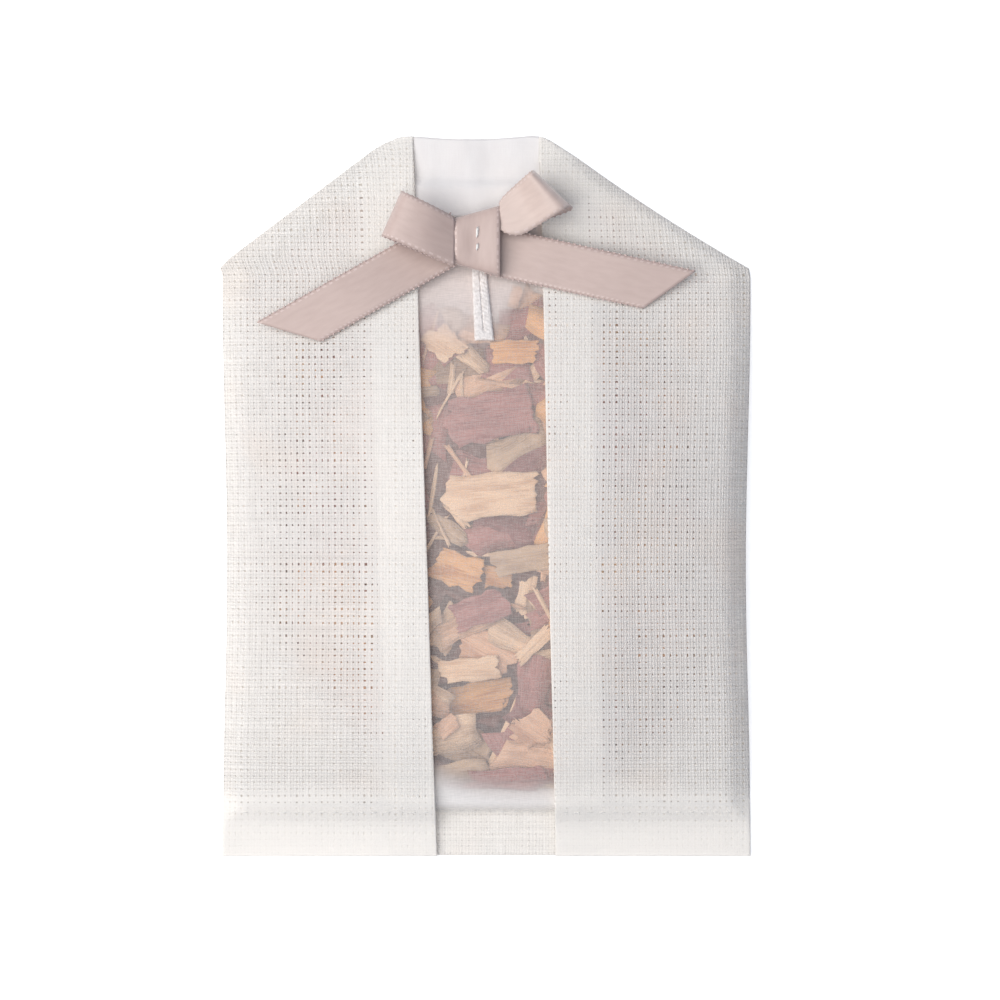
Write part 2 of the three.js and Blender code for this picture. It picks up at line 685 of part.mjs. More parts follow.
// Loop of ribbon: out from the knot along its lower run, round the fold and back above it
function loop({ length, turn, rise, rootWidth, skew }, tail, left) {
  const { along, across, start } = ribbonRun({ turn, rise }, left);
  start.addScaledVector(along, GAP + SATIN_THICKNESS);
  const rootSlant = -across.x / along.x;
  const wide = (distance) => lerp(rootWidth, RIBBON_WIDTH, share(distance / length)) / 2;
  const under = steps(0, length, STRIP_STEP).map((distance) => {
    const middle = start.clone().addScaledVector(along, distance);
    return stripSeat(middle, along, across);
  });
  const tailRun = ribbonRun(tail, left);
  const tailRoot = steps(0, tail.root, STRIP_STEP).map((distance) => tailSeat(distance, tailRun));
  const base = Math.max(...under, ...tailRoot) + SATIN_THICKNESS + 2 * GAP;
  const route = new THREE.CatmullRomCurve3([
    new THREE.Vector3(0, 0, LOOP_ROOT_LOW),
    new THREE.Vector3(length / 2, 0, SATIN_THICKNESS / 2),
    ...LOOP_BEND.map(({ out, up }) => new THREE.Vector3(length * out, 0, LOOP_HEIGHT * up)),
    new THREE.Vector3(0, 0, LOOP_ROOT_HEIGHT),
  ]);
  const inner = [];
  const outer = [];
  for (const b of [1, 0, -1]) {
    const [inside, outside] = [[], []];
    for (const at of evenly(0, 1, LOOP_STEPS)) {
      const centre = route.getPoint(at);
      const tangent = route.getTangent(at);
      for (const [line, side] of [[inside, 0.5], [outside, -0.5]]) {
        const offset = b * wide(centre.x);
        const slant = offset * lerp(rootSlant, skew, share(centre.x / length));
        const distance = centre.x - side * SATIN_THICKNESS * tangent.z + slant;
        const height = base + centre.z + side * SATIN_THICKNESS * tangent.x;
        const place = start.clone().addScaledVector(along, distance);
        place.addScaledVector(across, offset);
        line.push(new THREE.Vector3(place.x, place.y, height));
      }
    }
    inner.unshift(inside);
    outer.unshift(outside);
  }
  return slab(inner, outer);
}

// Doubled tape below the knot: two runs side by side, joined by a squared fold at the end
function hangingLoop() {
  const top = KNOT_Y - KNOT_RIGHT_HEIGHT / 2 - GAP;
  const half = TAPE_LOOP_WIDTH / 2;
  const middle = KNOT_SHIFT + TAPE_LOOP_SHIFT;
  const rows = steps(top - TAPE_LOOP_LENGTH, top, STRIP_STEP);
  const plan = rows.map((y) => evenly(middle - half, middle + half, TAPE_COLUMNS).map((x) => [x, y]));
  const seat = (y) => bagFrontTop(middle, y) + GAP;
  const tape = layer(plan, (_, y) => seat(y), (_, y) => seat(y) + TAPE_THICKNESS);
  const slotLength = TAPE_LOOP_LENGTH - TAPE_FOLD;
  const slotMiddle = top - slotLength / 2;
  const slot = new THREE.BoxGeometry(TAPE_SLOT, slotLength, FILL_HEIGHT);
  slot.translate(middle, slotMiddle + GAP, seat(slotMiddle));
  return geometryOf(solidOf(tape).subtract(solidOf(slot)));
}

function hemThread(left) {
  const y = HEM_LINE - HEM_THREAD_INSET;
  const outer = coverSides(y)[left ? 0 : 1];
  const inner = openingEdges(y)[left ? 0 : 1];
  const inward = Math.sign(inner - outer);
  const xs = steps(outer + inward * HEM_THREAD_END, inner - inward * HEM_THREAD_END, GRID_STEP);
  const height = (x) => frontTop(x, y, left) + GAP + THREAD_RADIUS;
  return thread(xs.map((x) => new THREE.Vector3(x, y, height(x))), THREAD_RADIUS);
}

function backHemThread() {
  const y = HEM_LINE - HEM_THREAD_INSET;
  const [left, right] = openingEdges(y);
  const xs = steps(left + HEM_THREAD_END, right - HEM_THREAD_END, GRID_STEP);
  const height = (x) => backTop(x, y) + GAP + THREAD_RADIUS;
  return thread(xs.map((x) => new THREE.Vector3(x, y, height(x))), THREAD_RADIUS);
}

function tackStitch({ from, to }) {
  const lift = GAP + TACK_RADIUS;
  const point = (y) => new THREE.Vector3(KNOT_SHIFT, y, knotTop(KNOT_SHIFT, y) + lift);
  return thread(steps(KNOT_Y + from, KNOT_Y + to, TACK_STEP).map(point), TACK_RADIUS);
}

addPiece("back_panel", backPanel(), "linen");
addPiece("left_front_panel", frontPanel(true), "linen");
addPiece("right_front_panel", frontPanel(false), "linen");
addPiece("back_neck_facing", neckFacing(), "cotton");
addPiece("left_hem_thread", hemThread(true), "thread");
addPiece("right_hem_thread", hemThread(false), "thread");
addPiece("back_hem_thread", backHemThread(), "thread");
addPiece("bag_back_sheet", bagSheet(bagBackLow, bagBackTop), "voile");
addPiece("bag_front_sheet", bagSheet(bagFrontLow, bagFrontTop), "voile");
const shavings = settle([...WINDOW_SHAVINGS, ...HIDDEN_SHAVINGS]);
addPiece("shaving_bed", shavingBed(shavings), "bed");
shavings.forEach((shaving, index) => {
  const number = String(index + 1).padStart(2, "0");
  addPiece(`shaving_${number}`, shavingFlake(shaving, index + 1), shaving.tone);
});
addPiece("ribbon_knot", knot(), "satin");
addPiece("ribbon_left_loop", loop(LEFT_LOOP, LEFT_TAIL, true), "satin");
addPiece("ribbon_right_loop", loop(RIGHT_LOOP, RIGHT_TAIL, false), "satin");
addPiece("ribbon_left_tail", freeTail(LEFT_TAIL, true), "satin");
addPiece("ribbon_right_tail", freeTail(RIGHT_TAIL, false), "satin");
addPiece("upper_tack_stitch", tackStitch(UPPER_TACK), "thread");
addPiece("lower_tack_stitch", tackStitch(LOWER_TACK), "thread");
addPiece("hanging_loop", hangingLoop(), "tape");

export default sachet;
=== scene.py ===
"""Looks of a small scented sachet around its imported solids.

An open linen coat lies over a sheer bag of wood shavings, with a satin bow sewn on at the neck and a
loop of tape below the knot. Sizes are in millimetres until a finished mesh is scaled to metres.
"""

import json
import logging
import math
import random
from dataclasses import dataclass, field
from enum import Enum
from typing import Callable, Optional, Sequence

import bmesh
import bpy
from mathutils import Matrix, Vector, noise
from mathutils.bvhtree import BVHTree
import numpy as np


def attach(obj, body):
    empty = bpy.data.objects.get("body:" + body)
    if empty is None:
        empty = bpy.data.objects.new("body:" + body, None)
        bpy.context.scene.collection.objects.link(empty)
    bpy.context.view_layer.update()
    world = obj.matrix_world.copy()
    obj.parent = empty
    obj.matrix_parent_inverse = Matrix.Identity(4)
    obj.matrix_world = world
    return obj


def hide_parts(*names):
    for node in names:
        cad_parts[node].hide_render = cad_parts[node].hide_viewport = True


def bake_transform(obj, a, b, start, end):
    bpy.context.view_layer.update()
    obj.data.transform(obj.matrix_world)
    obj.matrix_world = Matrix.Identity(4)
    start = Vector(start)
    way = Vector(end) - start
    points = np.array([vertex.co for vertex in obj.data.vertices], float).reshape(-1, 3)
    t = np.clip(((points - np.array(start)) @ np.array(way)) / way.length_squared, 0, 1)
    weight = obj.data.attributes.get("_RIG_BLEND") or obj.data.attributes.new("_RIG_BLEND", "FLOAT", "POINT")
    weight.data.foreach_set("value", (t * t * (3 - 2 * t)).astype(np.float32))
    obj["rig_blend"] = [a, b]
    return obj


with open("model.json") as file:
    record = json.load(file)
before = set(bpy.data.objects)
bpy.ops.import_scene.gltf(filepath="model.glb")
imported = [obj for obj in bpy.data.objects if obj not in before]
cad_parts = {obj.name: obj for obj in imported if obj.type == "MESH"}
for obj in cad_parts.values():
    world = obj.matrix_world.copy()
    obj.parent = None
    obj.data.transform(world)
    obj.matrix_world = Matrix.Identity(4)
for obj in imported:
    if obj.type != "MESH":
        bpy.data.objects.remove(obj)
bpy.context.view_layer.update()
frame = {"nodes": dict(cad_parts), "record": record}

MM = 0.001
CLOSE = 1e-4
JOINED = 1e-6
LOG = logging.getLogger("sachet")

Colour = tuple[float, float, float, float]
Socket = bpy.types.NodeSocket
Material = bpy.types.Material
Mesh = bmesh.types.BMesh
Triple = tuple[float, float, float]
Pair = tuple[float, float]
Height = Callable[[float, float], float]
Place = Callable[[float, float], Vector]
Sides = Callable[[float], Pair]
Fold = tuple[Vector, Vector]


class Side(Enum):
    """Side of the sachet, as the viewer sees it."""

    LEFT = -1
    RIGHT = 1


class Body(Enum):
    """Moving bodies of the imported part."""

    SACHET = "sachet"
    LEFT_TAIL = "left_tail"
    RIGHT_TAIL = "right_tail"
    TAPE_LOOP = "tape_loop"


class Slot(Enum):
    """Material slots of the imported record."""

    LINEN = "linen"
    COTTON = "fine_cotton"
    VOILE = "sheer_voile"
    SATIN = "satin_ribbon"
    TAPE = "cotton_tape"
    THREAD = "sewing_thread"
    MIXED = "wood_mixed"


def lerp(start: float, end: float, along: float) -> float:
    """Value a share of the way from start to end."""
    return start + (end - start) * along


def share(value: float) -> float:
    """Value held between 0 and 1."""
    return min(1.0, max(0.0, value))


def ease(value: float) -> float:
    """Share that starts and ends gently."""
    held = share(value)
    return held * held * (3.0 - 2.0 * held)


@dataclass(frozen=True)
class SachetForm:
    """Sizes of the sachet and the height of each of its layers over the floor."""

    linen: float = 0.6
    cotton: float = 0.4
    voile: float = 0.3
    gap: float = 0.3
    cover_width: float = 110.0
    cover_length: float = 150.4
    shoulder_drop: float = 28.0
    neck_width: float = 29.2
    neck_shift: float = -3.3
    neck_dip: float = 1.0
    left_corner: Triple = (-19.4, 1.05, 6.0)
    right_corner: Triple = (11.3, 0.5, 3.0)
    side_draw: float = 1.2
    hem_depth: float = 10.5
    facing_width: float = 10.0
    fold_step: float = 6.0
    flat_width: float = 60.0
    side_lift: float = 5.0
    opening_hem: Pair = (24.7, 2.05)
    opening_neck: Pair = (26.3, -2.15)
    bag_margin: float = 5.0
    bag_hem_margin: float = 1.0
    hem_rise: float = 4.0
    bag_neck_margin: float = 11.4
    fill_margin: float = 4.0
    fill_low_margin: float = 1.5
    fill_high_margin: float = 14.0
    fill_height: float = 15.0
    side_round: float = 0.55
    low_end_round: float = 0.6
    high_end_round: float = 1.3
    pressed: float = 0.2
    drape_reach: float = 6.0
    drape_foot: float = 4.0
    drape_curve: float = 1.41
    bag_drape_reach: float = 3.0
    bag_overhang: float = 2.6

    @property
    def hem_y(self) -> float:
        """Lower edge of the cover."""
        return -self.cover_length / 2

    @property
    def top_y(self) -> float:
        """Upper edge of the cover."""
        return self.cover_length / 2

    @property
    def hem_line(self) -> float:
        """Upper edge of the turned hem."""
        return self.hem_y + self.hem_depth

    @property
    def shoulder_y(self) -> float:
        """Height along the cover where the shoulders start."""
        return self.top_y - self.shoulder_drop

    @property
    def bag_low(self) -> float:
        """Lower edge of the sheer bag."""
        return self.hem_line + self.bag_hem_margin

    @property
    def bag_high(self) -> float:
        """Upper edge of the sheer bag."""
        return self.top_y - self.bag_neck_margin

    @property
    def fill_low(self) -> float:
        """Lower end of the fill."""
        return self.bag_low + self.fill_low_margin

    @property
    def fill_high(self) -> float:
        """Upper end of the fill."""
        return self.bag_high - self.fill_high_margin

    def half_width(self, y: float) -> float:
        """Half the cover's width below its shoulders, drawn in between hem and shoulder."""
        belly = share((y - self.hem_y) / (self.shoulder_y - self.hem_y))
        return self.cover_width / 2 - self.side_draw * math.sin(math.pi * belly) ** 2

    def cover_sides(self, y: float) -> Pair:
        """Left and right side of the cover at a height along it."""
        slope = share((y - self.shoulder_y) / self.shoulder_drop)
        half = self.half_width(y)
        left = lerp(-half, self.neck_shift - self.neck_width / 2, slope)
        right = lerp(half, self.neck_shift + self.neck_width / 2, slope)
        return left, right

    def inset_sides(self, y: float, margin: float) -> Pair:
        """Sides of what lies inside the cover by a margin."""
        left, right = self.cover_sides(y)
        return left + margin, right - margin

    def bag_sides(self, y: float) -> Pair:
        """Sides of the sheer bag."""
        return self.inset_sides(y, self.bag_margin)

    def fill_sides(self, y: float) -> Pair:
        """Sides of the fill."""
        return self.inset_sides(y, self.bag_margin + self.fill_margin)

    def opening_edges(self, y: float) -> Pair:
        """Left and right edge of the opening between the front panels."""
        along = share((y - self.hem_y) / self.cover_length)
        middle = lerp(self.opening_hem[1], self.opening_neck[1], along)
        half = lerp(self.opening_hem[0], self.opening_neck[0], along) / 2
        return middle - half, middle + half

    def neck_edge(self, x: float) -> float:
        """Upper edge of the back at the neck, dipped in its middle."""
        across = max(-1.0, min(1.0, (x - self.neck_shift) / (self.neck_width / 2)))
        return self.top_y - self.neck_dip * (1 - across * across)

    def corner_fall(self, x: float, y: float) -> float:
        """How far the rounded corners of the neck lie below the plain cut at a place."""
        fall = 0.0
        for corner, drop, reach in (self.left_corner, self.right_corner):
            near_top = ease((y - self.top_y + reach) / reach)
            fall += drop * near_top * share(1 - abs(x - corner) / reach) ** 2
        return fall

    def crown_along(self, y: float) -> float:
        """Share of the full crown at a height along the sachet."""
        along = (2 * y - self.fill_low - self.fill_high) / (self.fill_high - self.fill_low)
        round_end = self.low_end_round if along < 0 else self.high_end_round
        return max(0.0, 1 - along * along) ** round_end

    def crown(self, x: float, y: float, sides: Pair) -> float:
        """Height of the fill's crown between the sides given."""
        left, right = sides
        across = (2 * x - left - right) / (right - left)
        return self.fill_height * max(0.0, 1 - across * across) ** self.side_round * self.crown_along(y)

    def draped_crown(self, x: float, y: float, sides: Sides, foot: float, reach: float) -> float:
        """Height of cloth over the crown, drawn straight past the fill's low end.

        Args:
            x: place across.
            y: place along.
            sides: sides of the crown at a height along.
            foot: place along where the cloth comes down flat.
            reach: how far up the fill the cloth leaves it.

        Returns:
            The height over the flat.
        """
        own = self.crown(x, y, sides(y))
        knee = self.fill_low + reach
        if y >= knee:
            return own
        along = share((y - foot) / (knee - foot))
        return max(own, self.crown(x, knee, sides(knee)) * along**self.drape_curve)

    def back_low(self, x: float, y: float) -> float:
        """Underside of the back, which lifts off the floor toward its sides."""
        half_flat = self.flat_width / 2
        past = max(0.0, abs(x) - half_flat) / (self.cover_width / 2 - half_flat)
        return self.side_lift * self.crown_along(y) * past * past

    def hem_share(self, y: float) -> float:
        """1 on the doubled hem and 0 past its fold step."""
        return ease((self.hem_line + self.fold_step - y) / self.fold_step)

    def back_top(self, x: float, y: float) -> float:
        """Inner face of the back."""
        return self.back_low(x, y) + self.linen * (1 + self.hem_share(y))

    def bag_back(self, x: float, y: float) -> float:
        """Back sheet of the bag."""
        return self.back_top(x, y) + self.gap + self.voile / 2

    def bag_front(self, x: float, y: float) -> float:
        """Front sheet of the bag."""
        foot = self.bag_low - self.bag_overhang
        swelled = self.draped_crown(x, y, self.fill_sides, foot, self.bag_drape_reach)
        return self.bag_back(x, y) + self.gap + self.voile + swelled

    def front_low(self, x: float, y: float) -> float:
        """Inner face of the front panels."""
        left, right = self.cover_sides(y)
        from_side = min(x - left, right - x) / self.bag_margin
        from_hem = (y - self.hem_line + self.hem_rise) / (self.bag_hem_margin + self.hem_rise)
        from_neck = (self.top_y - y) / self.bag_neck_margin
        apart = min(ease(from_side), ease(from_hem), ease(from_neck)) * (2 * self.voile + 3 * self.gap)
        swelled = self.draped_crown(x, y, self.cover_sides, self.hem_y + self.drape_foot, self.drape_reach)
        return self.back_top(x, y) + self.gap + apart + swelled

    def facing_share(self, x: float, y: float, side: Side) -> float:
        """1 on the turned facing of a front panel and 0 past its fold step."""
        inner = self.opening_edges(y)[side is Side.RIGHT]
        outer = self.cover_sides(y)[side is Side.RIGHT]
        width = min(self.facing_width, abs(outer - inner) / 2)
        return ease((width + self.fold_step - abs(x - inner)) / self.fold_step)

    def front_top(self, x: float, y: float, side: Side) -> float:
        """Outer face of a front panel, raised where its cloth is doubled."""
        doubled = max(self.hem_share(y), self.facing_share(x, y, side))
        return self.front_low(x, y) + self.linen * (1 + self.pressed * doubled)

    def cloth_top(self, x: float, y: float) -> float:
        """Highest cloth at a place on the front, which the bow lies on."""
        left, right = self.opening_edges(y)
        if x <= left + self.gap:
            return self.front_top(min(x, left), y, Side.LEFT)
        if x >= right - self.gap:
            return self.front_top(max(x, right), y, Side.RIGHT)
        if y <= self.bag_high:
            return self.bag_front(x, y) + self.voile / 2
        return self.back_top(x, y) + self.gap + self.cotton


FORM = SachetForm()


class NodeSketch:
    """Short way to lay out the nodes of one material, or of the world around."""

    def __init__(self, name: str, world: bool = False) -> None:
        """Start a material or a world with only its output node."""
        self.owner = (bpy.data.worlds if world else bpy.data.materials).new(name)
        self.owner.use_nodes = True
        self.tree = self.owner.node_tree
        self.tree.nodes.clear()
        self.output = self.tree.nodes.new("ShaderNodeOutputWorld" if world else "ShaderNodeOutputMaterial")

    def add(self, kind: str, sockets: Optional[dict] = None, **settings: object) -> bpy.types.Node:
        """Add a node.

        Args:
            kind: Blender's type name of the node.
            sockets: value or source socket for each input, by its name or number.
            settings: other properties of the node.

        Returns:
            The new node.
        """
        node = self.tree.nodes.new(kind)
        for key, value in settings.items():
            setattr(node, key, value)
        for key, value in (sockets or {}).items():
            if isinstance(value, Socket):
                self.tree.links.new(value, node.inputs[key])
            else:
                node.inputs[key].default_value = value
        return node

    def ramp(self, factor: Socket, low: tuple[float, Colour], high: tuple[float, Colour]) -> Socket:
        """Colour between a low and a high stop, each a place and a colour."""
        node = self.add("ShaderNodeValToRGB", {"Fac": factor})
        for element, (place, colour) in zip(node.color_ramp.elements, (low, high)):
            element.position = place
            element.color = colour
        return node.outputs["Color"]

    def place(self) -> Socket:
        """Coordinates of the object, in metres."""
        return self.add("ShaderNodeTexCoord").outputs["Object"]

    def laid(self, layer: str) -> Socket:
        """Coordinates that the mesh carries under a name."""
        return self.add("ShaderNodeUVMap", uv_map=layer).outputs[0]

    def noise(self, vector: Socket, stretch: Triple, detail: float = 3.0) -> Socket:
        """Grey noise over coordinates that are scaled along each axis."""
        mapped = self.add("ShaderNodeMapping", {"Vector": vector, "Scale": stretch})
        grain = self.add("ShaderNodeTexNoise", {"Vector": mapped.outputs[0], "Scale": 1.0, "Detail": detail})
        return grain.outputs["Fac"]

    def math(self, operation: str, first: object, second: object = 0.0) -> Socket:
        """Result of one sum on two numbers or sockets."""
        return self.add("ShaderNodeMath", {0: first, 1: second}, operation=operation).outputs[0]

    def times(self, first: object, second: object) -> Socket:
        """Product of two numbers or sockets."""
        return self.math("MULTIPLY", first, second)

    def plus(self, first: object, second: object) -> Socket:
        """Sum of two numbers or sockets."""
        return self.math("ADD", first, second)

    def minus(self, first: object, second: object) -> Socket:
        """Difference of two numbers or sockets."""
        return self.math("SUBTRACT", first, second)

    def span(
        self, value: Socket, source: Pair = (0.0, 1.0), target: Pair = (0.0, 1.0), soft: bool = False
    ) -> Socket:
        """Value carried from one range to another and held there.

        Args:
            value: socket to carry over.
            source: range that it is read in.
            target: range that it comes out in.
            soft: whether it starts and ends gently.

        Returns:
            The carried socket.
        """
        sockets = {"Value": value, "From Min": source[0], "From Max": source[1]}
        sockets.update({"To Min": target[0], "To Max": target[1]})
        kind = "SMOOTHSTEP" if soft else "LINEAR"
        return self.add("ShaderNodeMapRange", sockets, interpolation_type=kind).outputs[0]

    def blend(self, factor: object, first: object, second: object, kind: str = "MIX") -> Socket:
        """Blend of two colours.

        Args:
            factor: socket or number that gives the share of the second colour.
            first: colour or socket.
            second: colour or socket.
            kind: Blender's name of the way to blend.

        Returns:
            The blended colour's socket.
        """
        sockets = {0: factor, 6: first, 7: second}
        return self.add("ShaderNodeMix", sockets, data_type="RGBA", blend_type=kind).outputs[2]

    def bump(self, height: Socket, strength: float, distance: float) -> Socket:
        """Normal bent by a grey height, with the share of the bend and the full height in metres."""
        node = self.add("ShaderNodeBump", {"Height": height, "Strength": strength, "Distance": distance})
        return node.outputs["Normal"]

    def surface(self, colour: Socket, roughness: float, specular: float, **others: object) -> bpy.types.Node:
        """Main shader with its colour, roughness and gloss, and other inputs by name with _ for a space."""
        sockets = {"Base Color": colour, "Roughness": roughness, "Specular IOR Level": specular}
        sockets.update({key.replace("_", " "): value for key, value in others.items()})
        return self.add("ShaderNodeBsdfPrincipled", sockets)

    def mix(self, factor: object, first: bpy.types.Node, second: bpy.types.Node) -> bpy.types.Node:
        """Mix of two shaders by the share of the second."""
        return self.add("ShaderNodeMixShader", {0: factor, 1: first.outputs[0], 2: second.outputs[0]})

    def seen(self) -> Socket:
        """1 for rays of the camera and those that a gloss or a clear gap passes on, and 0 for light."""
        path = self.add("ShaderNodeLightPath")
        seen = self.math("MAXIMUM", path.outputs["Is Camera Ray"], path.outputs["Is Glossy Ray"])
        return self.math("MAXIMUM", seen, path.outputs["Is Transmission Ray"])

    def lit_through(self, shader: bpy.types.Node, through: Colour, amount: float) -> bpy.types.Node:
        """Shader that also lets an amount of light through in a colour."""
        return self.mix(amount, shader, self.add("ShaderNodeBsdfTranslucent", {"Color": through}))

    def close(self, shader: bpy.types.Node) -> bpy.types.ID:
        """Send a shader to the output and hand over the material or the world."""
        self.tree.links.new(shader.outputs[0], self.output.inputs["Surface"])
        return self.owner


@dataclass(frozen=True)
class LinenFinish:
    """Bleached linen: slubby yarns with painted shade in the small gaps between them, soft and a little
    see-through.
    """

    name: str = "bleached_linen"
    light: Colour = (0.99, 0.976, 0.95, 1.0)
    deep: Colour = (0.9, 0.884, 0.854, 1.0)
    # tint of painted light: the chips' warm colour shining through the cloth
    show_through_tint: Colour = (0.985, 0.925, 0.87, 1.0)
    dense: Colour = (0.998, 0.985, 0.955, 1.0)
    # colour of the painted shade in the gaps between the yarns
    gap: Colour = (0.24, 0.228, 0.22, 1.0)
    through: Colour = (0.96, 0.91, 0.86, 1.0)
    slub_fine: float = 4.2
    slub_long: float = 0.2
    deep_at: float = 0.36
    light_at: float = 0.55
    patch_scale: float = 0.08
    patch_range: Pair = (0.5, 0.75)
    patch_share: float = 0.75
    # strength and spread of the painted gap shade
    gap_shade: float = 0.9
    gap_width: float = 0.72
    gap_stretch: Triple = (1.4, 0.4, 1.0)
    gap_range: Pair = (0.35, 0.65)
    least_gap: float = 0.45
    side_gap: float = 0.4
    doubled_fill: float = 0.86
    slub_range: Pair = (0.5, 0.64)
    slub_cover: float = 0.3
    fibre_scale: float = 18.0
    fibre_share: float = 0.4
    bump_share: float = 0.7
    bump_height: float = 0.00027
    see_through: float = 0.3

    def material(self) -> Material:
        """Build the material on the cloth's own weave coordinates, one unit to two yarns."""
        sketch = NodeSketch(self.name)
        weave = sketch.laid("weave")
        warp_slub = sketch.noise(weave, (self.slub_fine, self.slub_long, 1.0))
        weft_slub = sketch.noise(weave, (self.slub_long, self.slub_fine, 1.0))
        streak = sketch.times(sketch.plus(warp_slub, weft_slub), 0.5)
        colour = sketch.ramp(streak, (self.deep_at, self.deep), (self.light_at, self.light))
        # patches of painted light, where the chips' warm colour shines through the cloth
        cloudy = sketch.noise(weave, (self.patch_scale, self.patch_scale, 1.0), detail=1.0)
        patch = sketch.span(cloudy, self.patch_range, (0.0, self.patch_share), soft=True)
        tinted = sketch.blend(patch, colour, self.show_through_tint)
        parts = sketch.add("ShaderNodeSeparateXYZ", {0: weave})
        turns = [sketch.times(parts.outputs[axis], 2 * math.pi) for axis in ("X", "Y")]
        waves = [sketch.math("SINE", turn) for turn in turns]
        over = sketch.times(*waves)
        rises = [sketch.plus(0.5, sketch.times(over, half)) for half in (0.5, -0.5)]
        yarns = [sketch.times(sketch.math("ABSOLUTE", wave), rise) for wave, rise in zip(waves, rises)]
        height = sketch.math("MAXIMUM", *yarns)
        # painted shade in the gaps between the yarns: uneven, strongest at each cell's middle, less where
        # the cloth is doubled or a thick yarn covers it
        between = sketch.span(height, (self.gap_width, 0.0), soft=True)
        uneven = sketch.noise(weave, self.gap_stretch, detail=2.0)
        uneven = sketch.span(uneven, self.gap_range, (self.least_gap, 1.0))
        middles = [sketch.minus(0.5, sketch.times(sketch.math("COSINE", turn), 0.5)) for turn in turns]
        centred = sketch.span(sketch.times(*middles), target=(self.side_gap, 1.0))
        doubled = sketch.add("ShaderNodeAttribute", attribute_name="doubled").outputs["Fac"]
        single = sketch.minus(1.0, sketch.times(doubled, self.doubled_fill))
        covered = sketch.span(streak, self.slub_range, (1.0, self.slub_cover))
        gap_shade_mask = sketch.times(sketch.times(between, sketch.times(uneven, centred)), single)
        gap_shade_mask = sketch.times(gap_shade_mask, covered)
        thick = sketch.blend(doubled, tinted, self.dense)
        # blend the painted gap shade into the cloth's colour
        woven = sketch.blend(sketch.times(gap_shade_mask, self.gap_shade), thick, self.gap)
        fibre = sketch.noise(weave, (self.fibre_scale, self.fibre_scale, 1.0), detail=5.0)
        height = sketch.plus(sketch.times(fibre, self.fibre_share), sketch.times(height, single))
        normal = sketch.bump(height, self.bump_share, self.bump_height)
        cloth = sketch.surface(
            woven, roughness=0.92, specular=0.2, Sheen_Weight=0.15, Sheen_Roughness=0.6, Normal=normal
        )
        return sketch.close(sketch.lit_through(cloth, self.through, self.see_through))


@dataclass(frozen=True)
class CottonFinish:
    """Smooth fine cotton with a faint close weave."""

    name: str = "fine_cotton_lawn"
    light: Colour = (0.92, 0.9, 0.893, 1.0)
    deep: Colour = (0.85, 0.825, 0.818, 1.0)
    deep_at: float = 0.3
    light_at: float = 0.62
    soft_stretch: Triple = (180.0, 60.0, 60.0)
    yarns_per_mm: float = 3.2
    yarn_length: float = 9.0
    bump_share: float = 0.25
    bump_height: float = 0.0001
    see_through: float = 0.2

    def material(self) -> Material:
        """Build the material on object coordinates."""
        sketch = NodeSketch(self.name)
        place = sketch.place()
        soft = sketch.noise(place, self.soft_stretch, detail=4.0)
        colour = sketch.ramp(soft, (self.deep_at, self.deep), (self.light_at, self.light))
        fine = self.yarns_per_mm / MM
        long = fine / self.yarn_length
        runs = ((fine, long, fine), (long, fine, fine))
        close = sketch.plus(*(sketch.noise(place, run, detail=1.0) for run in runs))
        normal = sketch.bump(close, self.bump_share, self.bump_height)
        cloth = sketch.surface(colour, roughness=0.85, specular=0.25, Sheen_Weight=0.1, Normal=normal)
        return sketch.close(sketch.lit_through(cloth, self.light, self.see_through))


